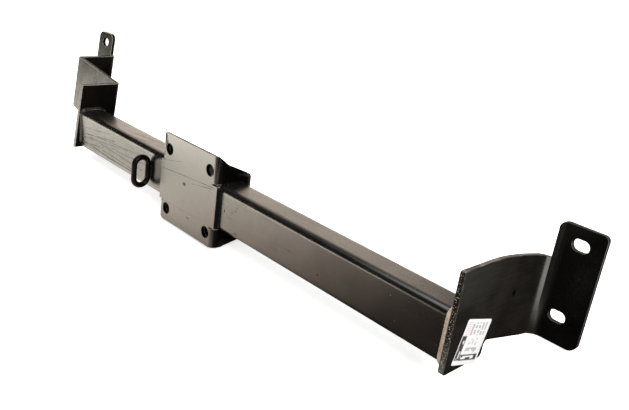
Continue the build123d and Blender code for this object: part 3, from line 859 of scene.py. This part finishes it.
def glossy_black(name, paint, roughness=0.2, gloss=0.15):
    """Thick glossy black paint with a slight orange peel, dusty in patches."""
    material, shader, place = new_material(name)
    cloud = noise(place, 45.0, 5.0, 0.6)
    clean, dusty = colour(paint.gloss_black), colour(paint.gloss_black, 2.2)
    fill(shader, {
        "Base Color": blend(between(cloud, 0.35, 0.7), clean, dusty),
        "Roughness": between(cloud, 0.3, 0.7, roughness - 0.06, roughness + 0.12),
        "Specular IOR Level": gloss,
        "Normal": bumped(noise(place, 330.0, 4.0, 0.55), 0.3, 0.4 * MM),
    })
    return material


def sheet_uv(material):
    """The piece's own UV, put into its material."""
    return put(material.node_tree, "ShaderNodeUVMap", uv_map="Sheet").outputs[0]


def burnt_weld(name, paint):
    """Weld with pale burnt scale on its crown, dark towards its toes and rusty in patches."""
    material, shader, place = new_material(name)
    middle, toe_begins, toe_ends = 0.54, 0.34, 0.46
    shake = minus(noise(place, 160.0, 4.0), 0.5)
    over = plus(parts(sheet_uv(material))[0], times(shake, 0.25))
    toe = between(unsigned(minus(over, middle)), toe_begins, toe_ends)
    tones = {"dark": colour(paint.rust, 0.6), "light": colour(paint.rust, 1.5)}
    rust = grouped("Rust bloom", place, amount=0.46, scale=190.0, **tones)
    tone = noise(place, 90.0, 6.0, 0.65)
    dull, pale = colour(paint.heat_scale, 0.8), colour(paint.heat_scale, 1.2)
    crown = blend(between(tone, 0.35, 0.7), dull, pale)
    crown = blend(times(rust["Mask"], 0.35), crown, rust["Colour"])
    fill(shader, {
        "Base Color": blend(toe, crown, colour(paint.rust, 0.3)),
        "Roughness": between(tone, 0.3, 0.7, 0.42, 0.68),
        "Normal": bumped(rust["Height"], 0.35, 0.5 * MM),
    })
    return material


def label_paper(settings):
    """White paper with plain printed bands on the sheet's own UV.

    A dark strip of light blocks stands at the left and another lies at the foot. Thin grey bars
    fill the upper right and grey blocks the middle, and thin pink bars stand beside them.
    """
    material, shader, _ = new_material("Bare label paper")
    sheet = sheet_uv(material)
    across, up, _ = parts(sheet)

    def inside(value, low, high, soft=0.012):
        fall = ramp(value, high - soft, high + soft, 1.0, 0.0)
        return times(ramp(value, low - soft, low + soft), fall)

    def field(left, right, low, high):
        """The part of the sheet between two sides and two levels."""
        return times(inside(across, left, right), inside(up, low, high))

    def blocks(count_across, count_up, level):
        """Cells of a grid whose own random value passes a level."""
        cell = vector("FLOOR", mapped(sheet, "Scale", (count_across, count_up, 1.0)))
        chance = put(cell.id_data, "ShaderNodeTexWhiteNoise", noise_dimensions="2D")
        fill(chance, {"Vector": cell})
        return maths("GREATER_THAN", chance.outputs["Value"], level)

    def stripes(value, count, share):
        return maths("LESS_THAN", maths("FRACT", times(value, count)), share)

    strip_blocks = times(field(0.05, 0.165, 0.14, 0.61), blocks(17.0, 13.0, 0.6))
    strip = minus(field(0.02, 0.2, 0.11, 0.64), strip_blocks, clamp=True)
    foot_blocks = times(field(0.24, 0.9, 0.13, 0.2), blocks(15.0, 24.0, 0.55))
    foot = minus(field(0.2, 0.93, 0.1, 0.23), foot_blocks, clamp=True)
    bars = times(field(0.27, 0.88, 0.65, 0.93), stripes(across, 7.4, 0.62), blocks(7.4, 30.0, 0.12))
    rows = times(field(0.36, 0.72, 0.42, 0.58), blocks(14.0, 20.0, 0.62))
    mark = times(field(0.32, 0.8, 0.28, 0.38), blocks(12.0, 26.0, 0.4))
    ink = largest(strip, foot, times(bars, 0.45), times(rows, 0.3), times(mark, 0.45))
    pink_bars = times(field(0.08, 0.24, 0.65, 0.94), stripes(up, 24.0, 0.5), 0.6)
    cloud = noise(sheet, 9.0, 5.0)
    paper = blend(between(cloud, 0.3, 0.7), colour(settings.paper), colour(settings.paper, 0.93))
    paper = blend(pink_bars, paper, colour((0.75, 0.36, 0.42)))
    fill(shader, {
        "Base Color": blend(ink, paper, colour(settings.print_black)),
        "Roughness": between(cloud, 0.3, 0.7, 0.5, 0.6),
        "Normal": bumped(noise(sheet, 160.0, 3.0), 0.12, 0.2 * MM),
    })
    return material


# Making the pieces


def soften(node_name, materials, edge, flat_within=0.1):
    """Give a packed plate its finishes, join it back to flat faces and chamfer its cut edges.

    flat_within is the angle in degrees under which neighbouring faces count as one.
    """
    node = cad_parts[node_name]
    for number, material in enumerate(materials):
        if number >= len(node.data.materials):
            node.data.materials.append(material)
        node.material_slots[number].link = "OBJECT"
        node.material_slots[number].material = material
    if not node.material_slots:
        raise RuntimeError(f"{node_name} has no material slot")
    assign(node.modifiers.new("Merge", "WELD"), merge_threshold=1e-6)
    flat = node.modifiers.new("Flatten", "DECIMATE")
    assign(flat, decimate_type="DISSOLVE", angle_limit=math.radians(flat_within))
    if edge.chamfer > 0:
        assign(
            node.modifiers.new("Soften", "BEVEL"), offset_type="ABSOLUTE", width=edge.chamfer,
            segments=edge.steps, limit_method="ANGLE", angle_limit=math.radians(60),
            loop_slide=False, use_clamp_overlap=False, material=1 if len(materials) > 1 else -1,
        )


class TOWBAR_OT_tube(bpy.types.Operator):
    """Paint the cross tube"""

    bl_idname = "towbar.finish_tube"
    bl_label = "Finish Tube"

    def execute(self, context):
        lines = [
            ((-293, 6, -8), (-196, 6, 7), 0.9, 0.72),
            ((-287, 6, -20), (-179, 6, -24), 1.1, 0.72),
            ((-246, 6, -17), (-143, 6, -20), 0.9, 0.66),
            ((-272, 6, -8), (-120, 6, -13), 0.9, 0.72),
            ((-218, 6, -24), (-132, 6, -23), 1.1, 0.72),
            ((-296, 6, 2), (-210, 6, 14), 0.8, 0.56),
            ((-300, 6, -14), (-160, 6, 4), 0.8, 0.61),
            ((-255, 6, -2), (-108, 6, 9), 0.8, 0.61),
            ((-190, 6, -6), (-110, 6, -2), 0.9, 0.61),
            ((-300, 6, -24), (-230, 6, -13), 0.8, 0.66),
            ((-197, 17, 26.5), (-110, 33, 26.5), 1.1, 1.0),
            ((-150, 12, 26.5), (-90, 24, 26.5), 0.8, 0.91),
            ((70, 6, 12), (180, 6, 17), 0.5, 0.35),
        ]
        smudges_and_shadows = [
            ((74, 6, -3), (1, 1, 1.4), 1.6, 0.8),
            ((99, 6, -25), (3.5, 1, 1), 1.6, 0.5),
            ((246, 6, -15), (1, 1, 1), 1.5, 0.8),
            # The last three patches are a painted shadow: the eye's shadow, dark on the tube's
            # front beside it
            ((-78, 6, 0), (1.2, 1, 2.1), 12.5, 0.5),
            ((-90, 6, 0), (1, 1, 4.2), 4.6, 0.95),
            ((-84, 6, 20), (2.4, 1, 1), 4.2, 0.9),
        ]
        # Under the saddle, between its wings, the tube gets painted shade
        material = painted_steel(
            "Painted tube", context.scene.towbar_paint, lines=lines, smudges_and_shadows=smudges_and_shadows, tone=0.8,
            depth=0.16, painted_shade_span=58 * MM, sheen_level=0.93,
            specks=[(95.0, 0.05, 0.25, 0.5)],
            scratches=[
                ((0.0, 0.06, 0.0), (5.0, 150.0, 170.0), 0.02, 0.42, 0.3),
                ((0.0, -0.05, 0.0), (9.0, 420.0, 420.0), 0.03, 0.5, 0.2),
            ],
        )
        soften("cross_tube", [material], context.scene.towbar_edges)
        return {"FINISHED"}


class TOWBAR_OT_saddle(bpy.types.Operator):
    """Soften and paint the towball saddle"""

    bl_idname = "towbar.finish_saddle"
    bl_label = "Finish Saddle"

    def execute(self, context):
        paint = context.scene.towbar_paint
        lines = [
            ((-61, 0, 12.5), (56, 0, 22.5), 0.6, 1.0),
            ((-59, 0, 24), (-15, 0, 34), 0.5, 0.7),
            ((9, 0, 12), (59, 0, 21), 0.6, 0.9),
            ((-58, 0, -33), (30, 0, -30), 0.5, 0.4),
        ]
        smudges_and_shadows = [
            ((-7, 0, 6), (1.4, 1, 1), 3.2, 0.75),
            ((6, 0, -38), (3.0, 1, 0.8), 1.8, 0.5),
            ((27, 0, 49), (1, 1, 1), 1.2, 0.5),
        ]
        material = painted_steel(
            "Painted saddle", paint, lines=lines, smudges_and_shadows=smudges_and_shadows, cut_faces=saddle_cut_faces,
            sheen="saddle", gloss=0.06, tone=0.35, depth=0.04,
            specks=[(140.0, 0.05, 0.3, 0.5)],
            scratches=[((0.0, 0.09, 0.0), (7.0, 160.0, 190.0), 0.018, 0.4, 0.4)],
        )
        rubbed = rubbed_edge("Rubbed saddle edge", paint)
        soften("towball_saddle", [material, rubbed], context.scene.towbar_edges, flat_within=5.0)
        return {"FINISHED"}


class TOWBAR_OT_brackets(bpy.types.Operator):
    """Soften and paint the two end brackets"""

    bl_idname = "towbar.finish_brackets"
    bl_label = "Finish Brackets"

    def execute(self, context):
        paint = context.scene.towbar_paint
        edges = context.scene.towbar_edges
        punch = ((WEB_OUTER / MM, 105.2, 22.8), (1, 1, 1), 4.6, 1.0)
        dull = ((WEB_OUTER / MM, 14.0, 22.0), (1, 1, 0.5), 26.0, 0.3)
        # The right bracket's faces that look along Y get painted shade
        right = painted_steel(
            "Painted right bracket", paint, smudges_and_shadows=[punch, dull], cut_faces=right_cut_faces,
            sheen="fold", gloss=0.0, roughness=0.3, spread=0.06, tone=1.7, brown=0.1,
            grain=(500.0, 40.0, 500.0), bump=0.03, depth=0.11, rear_painted_shade=0.7,
            specks=[(120.0, 0.05, 0.3, 0.35)],
        )
        rubbed = rubbed_edge("Rubbed right edge", paint, 0.5, (0.07, 0.062, 0.052))
        soften("right_end_bracket", [right, rubbed], edges)
        left = painted_steel(
            "Painted left bracket", paint, grain=(150.0, 150.0, 11.0), brown=0.4,
            sheen="rear", gloss=0.06, tone=0.35, depth=0.42, sheen_level=0.88, bump=0.04,
            specks=[(120.0, 0.06, 0.3, 0.4)],
            scratches=[((0.0, 0.0, 0.0), (160.0, 160.0, 9.0), 0.025, 0.5, 0.5)],
        )
        # Worn bare steel along the cut edges, made pale enough to stand in for their bright rims as
        # well: wear and painted highlight
        rubbed = rubbed_edge("Rubbed and highlighted left edge", paint, 0.62, (0.34, 0.315, 0.275))
        soften("left_end_bracket", [left, rubbed], edges)
        return {"FINISHED"}


class TOWBAR_OT_eye(bpy.types.Operator):
    """Make the breakaway eye, a closed link of round bar"""

    bl_idname = "towbar.make_eye"
    bl_label = "Make Breakaway Eye"

    def execute(self, context):
        centre = (EYE_LOW + EYE_HIGH) / 2
        half = (EYE_HIGH - EYE_LOW) / 2
        points = link_surface(centre, half[2], half[1], half[0])
        material = glossy_black("Gloss black eye", context.scene.towbar_paint, gloss=0.07)
        eye = surface("breakaway_eye_bar", points, material, wrap_rows=True, wrap_columns=True)
        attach(eye, "root")
        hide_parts("breakaway_eye")
        return {"FINISHED"}


class TOWBAR_OT_end_welds(bpy.types.Operator):
    """Lay the weld beads round both ends of the tube"""

    bl_idname = "towbar.lay_end_welds"
    bl_label = "Lay End Welds"

    def execute(self, context):
        welds, paint = context.scene.towbar_welds, context.scene.towbar_paint
        _, _, joints = tube_outline(np.zeros(1))

        way = np.arange(0.0, joints[-1], welds.sample)
        burnt = burnt_weld("Burnt weld", paint)
        leg_out, leg_in = 4.3 * MM, 7.8 * MM
        ring = tube_bead("right_weld_bead", way, TUBE_HIGH[0], -1.0, leg_out, leg_in, burnt, welds,
                         seed=3, closed=True)
        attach(ring, "root")
        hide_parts("right_weld_rear", "right_weld_front", "right_weld_top", "right_weld_bottom")

        # The left bead runs up the far side, over the top and down the near side
        way = np.arange(joints[2], joints[7], welds.sample)
        leg_out = np.interp(way, [joints[5], joints[6]], [4.3 * MM, 2.6 * MM])
        leg_in = 4.4 * MM
        painted = painted_steel(
            "Painted left weld", paint, grain=(300.0, 300.0, 300.0), bump=0.3, sheen_level=0.5,
        )
        run = tube_bead("left_weld_bead", way, TUBE_LOW[0], 1.0, leg_out, leg_in, painted, welds,
                        seed=7)
        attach(run, "root")
        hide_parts("left_weld_rear", "left_weld_front", "left_weld_top")
        return {"FINISHED"}


class TOWBAR_OT_saddle_welds(bpy.types.Operator):
    """Lay the weld beads that hold the saddle to the tube"""

    bl_idname = "towbar.lay_saddle_welds"
    bl_label = "Lay Saddle Welds"

    def execute(self, context):
        welds, paint = context.scene.towbar_welds, context.scene.towbar_paint
        black = glossy_black("Gloss black weld", paint, 0.22, gloss=0.07)
        ear_leg, wing_leg, ear_sink = 5.7 * MM, 2.9 * MM, 3 * MM
        for side, name in ((-1.0, "left"), (1.0, "right")):
            low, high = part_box(f"saddle_weld_{name}")
            ear = side * min(abs(low[0]), abs(high[0]))
            ends = (ear, TUBE_LOW[1], low[2]), (ear, TUBE_LOW[1], high[2])
            run = straight_bead(f"saddle_bead_{name}", ends, (0.0, -1.0, 0.0), side, ear_leg,
                                black, welds, seed=11, sink=ear_sink)
            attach(run, "root")
            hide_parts(f"saddle_weld_{name}")
            for level, height, way in (("upper", TUBE_HIGH[2], 1.0), ("lower", TUBE_LOW[2], -1.0)):
                node = f"saddle_weld_{level}_{name}"
                low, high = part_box(node)
                wing = side * min(abs(low[0]), abs(high[0]))
                ends = (wing, low[1], height), (wing, high[1], height)
                run = straight_bead(f"saddle_bead_{level}_{name}", ends, (0.0, 0.0, way), side,
                                    wing_leg, black, welds, seed=17)
                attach(run, "root")
                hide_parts(node)
        return {"FINISHED"}


class TOWBAR_OT_eye_welds(bpy.types.Operator):
    """Lay the two fillets beside the breakaway eye"""

    bl_idname = "towbar.lay_eye_welds"
    bl_label = "Lay Eye Welds"

    def execute(self, context):
        welds, paint = context.scene.towbar_welds, context.scene.towbar_paint
        black = glossy_black("Gloss black eye weld", paint, 0.24, gloss=0.06)
        middle, off_middle, leg = (EYE_LOW[0] + EYE_HIGH[0]) / 2, 0.4 * MM, 5.4 * MM
        for side, name in ((-1.0, "left"), (1.0, "right")):
            node = f"eye_weld_{name}"
            low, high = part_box(node)
            x = middle + side * off_middle
            ends = (x, high[1], low[2]), (x, high[1], high[2])
            run = straight_bead(f"eye_bead_{name}", ends, (0.0, -1.0, 0.0), side, leg, black,
                                welds, seed=23)
            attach(run, "root")
            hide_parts(node)
        return {"FINISHED"}


class TOWBAR_OT_spatter_and_shade_plug(bpy.types.Operator):
    """Scatter drops of weld spatter, with a dark plug as painted shade in a towball hole"""

    bl_idname = "towbar.scatter_spatter"
    bl_label = "Scatter Spatter"

    def execute(self, context):
        random = np.random.default_rng(seed=41)
        # Spans of X in millimetres, each with its number of drops
        by_eye, by_saddle, by_end = (-118, -80, 9), (70, 100, 8), (385, 412, 9)
        drop_height, shade_plug_size, shade_plug_height = 0.6, 6.0 * MM, 3.2 * MM
        shade_plug, shade_plug_way = (-11.0, 43.8, 24.3), (0.0, 0.7071, 0.7071)
        x = np.concatenate([random.uniform(*span) for span in (by_eye, by_saddle, by_end)]) * MM
        count = len(x)
        z = random.uniform(-20, 15, count) * MM
        places = np.stack([x, np.full(count, TUBE_LOW[1]), z], axis=1)
        ways = np.tile([0.0, -1.0, 0.0], (count, 1))
        sizes = random.uniform(0.35, 0.85, count) * MM
        heights = sizes * drop_height

        # Painted shade: a dark drop on the tube's far upper edge in the saddle blackens what shows
        # through the upper right towball hole
        places, ways = np.vstack([places, metres(shade_plug)]), np.vstack([ways, shade_plug_way])
        sizes, heights = np.append(sizes, shade_plug_size), np.append(heights, shade_plug_height)
        black = glossy_black("Spatter and shade plug black", context.scene.towbar_paint, 0.25)
        drops = domes("weld_spatter_and_shade_plug", places, ways, sizes, heights, black)
        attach(drops, "root")
        return {"FINISHED"}


class TOWBAR_OT_label(bpy.types.Operator):
    """Lay the bare paper label on the right web"""

    bl_idname = "towbar.lay_label"
    bl_label = "Lay Label"

    def execute(self, context):
        label = context.scene.towbar_label
        points, uv = label_surface(label)
        sheet = surface("paper_label_sheet", points, label_paper(label), uv=uv)
        assign(sheet.modifiers.new("Paper", "SOLIDIFY"), thickness=0.16 * MM, offset=0.0)
        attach(sheet, "root")
        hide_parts("paper_label")
        return {"FINISHED"}


# Stage


def axes(azimuth, elevation, roll):
    """Right, up and back of a camera that looks at the towbar from an azimuth and an elevation."""
    level = np.array([math.cos(azimuth), math.sin(azimuth), 0.0])
    outward = np.array([math.sin(azimuth), -math.cos(azimuth), 0.0])
    back = math.cos(elevation) * outward + np.array([0.0, 0.0, math.sin(elevation)])
    right = math.cos(roll) * level + math.sin(roll) * np.cross(back, level)
    return right, np.cross(back, right), back


def soft_lamp(name, place, target, side, power):
    """Square soft lamp aimed at a point."""
    data = assign(bpy.data.lights.new(name, "AREA"), shape="SQUARE", size=side, energy=power)
    turn = (Vector(target) - Vector(place)).to_track_quat("-Z", "Y").to_euler()
    lamp = bpy.data.objects.new(name, data)
    assign(lamp, location=place, rotation_euler=turn, visible_camera=False)
    bpy.context.scene.collection.objects.link(lamp)


def floor_material(stage):
    """Pale floor that keeps the towbar's shadow, turns white further out and hides from below.

    Glossy faces see a bright sweep on it at the left. It runs out over half a metre across the
    towbar and is dark from the tube forwards. They also see one glow past the right end, and one
    in front of the towbar that lights its far side.
    """
    material, shader, place = new_material("Pale floor")
    tree = material.node_tree
    rays = put(tree, "ShaderNodeLightPath").outputs
    x, y, _ = parts(place)
    to_left, to_rear = times(x, -1.0), times(y, -1.0)
    white = colour((1.0, 1.0, 1.0))

    # How far a point lies outside the tube's footprint
    tube_x, half_length, tube_y, half_depth = 0.06, 0.4, 0.03, 0.035
    past_end = minus(unsigned(minus(x, tube_x)), half_length, clamp=True)
    away = largest(minus(unsigned(minus(y, tube_y)), half_depth, clamp=True), past_end)

    # White that grows with it for the camera. Under the saddle the floor has a painted shadow
    # instead: near black and without the white
    under_x = between(unsigned(x), 0.045, 0.055, 1.0, 0.0)
    under_y = between(unsigned(minus(y, 0.033)), 0.016, 0.022, 1.0, 0.0)
    clean = minus(1.0, times(under_x, under_y))
    near_glow = between(away, 0.0, 0.03, stage.floor_glow * 0.8, stage.floor_glow)
    glow = times(plus(near_glow, between(away, 0.3, 2.0, 0.0, 0.7)), clean, rays["Is Camera Ray"])
    pale = colour(stage.floor_colour)
    pale = blend(noise(place, 3.0, 3.0), pale, colour(stage.floor_colour, 0.97))
    # The camera sees the painted shadow under the saddle as near black
    seen_base = blend(clean, colour((0.01, 0.01, 0.01)), white)
    fill(shader, {
        "Base Color": blend(rays["Is Camera Ray"], pale, seen_base),
        "Roughness": 0.9,
        "Specular IOR Level": 0.0,
    })
    shaders = {0: shader.outputs[0], 1: shining("Emission", white, glow)}
    open_floor = put(tree, "ShaderNodeAddShader", shaders)

    # The sweep's edge leans with the view. To the left its light dips, rises again and runs out
    lean, lean_from = 0.35, 0.12
    across = minus(x, times(maths("MINIMUM", plus(y, lean_from), 0.0), lean))
    bright = between(times(across, -1.0), -0.33, 0.2, 0.1, stage.sweep_light)
    dip, rise = between(to_left, 0.2, 0.36, 1.0, 0.82), between(to_left, 0.41, 0.56, 1.0, 1.3)
    far_left = between(to_left, 0.9, 2.6, 1.0, 0.11)
    nearer = between(to_rear, 0.2, 0.45, 1.0, 2.4)
    behind = between(y, -0.04, 0.05, 1.0, 0.02)
    sweep = times(bright, dip, rise, far_left, nearer, behind)
    right = between(x, 0.46, 0.6, 0.01, stage.side_glow)
    front = times(between(y, 0.27, 0.42, 0.0, stage.front_glow), between(x, 0.3, 0.4, 1.0, 0.0))
    tint = colour((0.985, 0.92, 0.79))
    tint = blend(between(x, -0.35, 0.2), tint, colour((1.0, 0.8, 0.65)))
    tint = blend(between(to_left, 0.6, 0.72), tint, colour((1.0, 0.94, 0.82)))
    tint = blend(between(x, 0.4, 0.46), tint, colour((1.0, 0.97, 0.9)))
    lit = shining("Emission", tint, plus(sweep, right, front))
    seen = mixed(rays["Is Glossy Ray"], open_floor.outputs[0], lit)
    below = put(tree, "ShaderNodeNewGeometry").outputs["Backfacing"]
    shown = mixed(below, seen, put(tree, "ShaderNodeBsdfTransparent").outputs[0])
    output = next(node for node in tree.nodes if node.type == "OUTPUT_MATERIAL")
    fill(output, {"Surface": shown})
    return material


def studio_world(stage):
    """White room for the camera and soft light for the rest, with a bright wall for glossy faces.

    The wall stands at the left, beyond the towbar. Its light is a smooth rise of the dot product
    of the ray and the wall's direction.
    """
    world = bpy.data.worlds.new("Studio")
    world.use_nodes = True
    tree = world.node_tree
    tree.nodes.clear()
    wall_way, wall_begins, wall_full, off_wall = (-0.8, 0.48, 0.36), 0.835, 0.945, 0.03
    rays = put(tree, "ShaderNodeLightPath").outputs
    glossy = rays["Is Glossy Ray"]
    to_wall = vector("DOT_PRODUCT", put(tree, "ShaderNodeTexCoord").outputs["Generated"], wall_way)
    wall = between(to_wall, wall_begins, wall_full, off_wall, stage.wall_light)
    inputs = {0: glossy, 2: stage.room_light, 3: wall}
    strength = put(tree, "ShaderNodeMix", inputs, data_type="FLOAT").outputs[0]
    tint = blend(glossy, colour((1.0, 0.99, 0.97)), colour((1.0, 0.85, 0.72)))
    white = put(tree, "ShaderNodeBackground", {"Color": colour((1.0, 1.0, 1.0)), "Strength": 1.0})
    room = shining("Background", tint, strength)
    both = mixed(rays["Is Camera Ray"], room, white.outputs[0])
    put(tree, "ShaderNodeOutputWorld", {"Surface": both})
    return world


class TOWBAR_OT_stage(bpy.types.Operator):
    """Set up the camera, the pale floor and the soft studio light"""

    bl_idname = "towbar.set_stage"
    bl_label = "Set Stage"

    def execute(self, context):
        scene = context.scene
        stage = scene.towbar_stage
        data = bpy.data.cameras.new("Camera")
        assign(data, sensor_width=36.0, lens=stage.lens, clip_start=0.01, clip_end=50.0)
        camera = bpy.data.objects.new("Camera", data)
        matrix = Matrix.Identity(4)
        columns = (*axes(stage.azimuth, stage.elevation, stage.roll), stage.camera_place)
        for number, column in enumerate(columns):
            matrix.col[number][:3] = column
        camera.matrix_world = matrix
        scene.collection.objects.link(camera)
        scene.camera = camera

        normal = np.array(stage.floor_up) / np.linalg.norm(stage.floor_up)
        side = np.cross(normal, [0.0, -1.0, 0.0])
        side /= np.linalg.norm(side)
        ahead = np.cross(normal, side)
        reach, lines = 6.0, 9
        spread = np.linspace(-reach, reach, lines)
        points = (
            normal * stage.floor_level
            + spread[:, None, None] * side
            + spread[None, :, None] * ahead
        )
        floor = surface("floor", points, floor_material(stage))
        if np.array(floor.data.polygons[0].normal) @ normal < 0:
            floor.data.flip_normals()

        soft_lamp("Fill light", place=(1.75, -0.4, 1.0), target=(0.2, 0.02, 0.0), side=0.9,
                  power=stage.fill_light)
        soft_lamp("Top light", place=(-0.1, -0.55, 2.0), target=(0.0, 0.02, 0.0), side=1.6,
                  power=stage.top_light)
        scene.world = studio_world(stage)
        scene.view_settings.view_transform = "Standard"
        return {"FINISHED"}


class VIEW3D_PT_towbar(bpy.types.Panel):
    """Towbar pieces in the 3D view's sidebar."""

    bl_label = "Towbar"
    bl_space_type = "VIEW_3D"
    bl_region_type = "UI"
    bl_category = "Towbar"

    def draw(self, context):
        for operator in OPERATORS:
            self.layout.operator(operator.bl_idname)


GROUPS = (
    ("towbar_paint", TowbarPaintSettings),
    ("towbar_edges", TowbarEdgeSettings),
    ("towbar_welds", TowbarWeldSettings),
    ("towbar_label", TowbarLabelSettings),
    ("towbar_stage", TowbarStageSettings),
)
OPERATORS = (
    TOWBAR_OT_tube,
    TOWBAR_OT_saddle,
    TOWBAR_OT_brackets,
    TOWBAR_OT_eye,
    TOWBAR_OT_end_welds,
    TOWBAR_OT_saddle_welds,
    TOWBAR_OT_eye_welds,
    TOWBAR_OT_spatter_and_shade_plug,
    TOWBAR_OT_label,
    TOWBAR_OT_stage,
)


def register():
    for name, group in GROUPS:
        bpy.utils.register_class(group)
        setattr(bpy.types.Scene, name, PointerProperty(type=group))
    for kind in (*OPERATORS, VIEW3D_PT_towbar):
        bpy.utils.register_class(kind)


def unregister():
    for kind in reversed((*OPERATORS, VIEW3D_PT_towbar)):
        bpy.utils.unregister_class(kind)
    for name, group in reversed(GROUPS):
        delattr(bpy.types.Scene, name)
        bpy.utils.unregister_class(group)


def main():
    register()
    for operator in OPERATORS:
        section, action = operator.bl_idname.split(".")
        getattr(getattr(bpy.ops, section), action)()


if __name__ == "__main__":
    main()
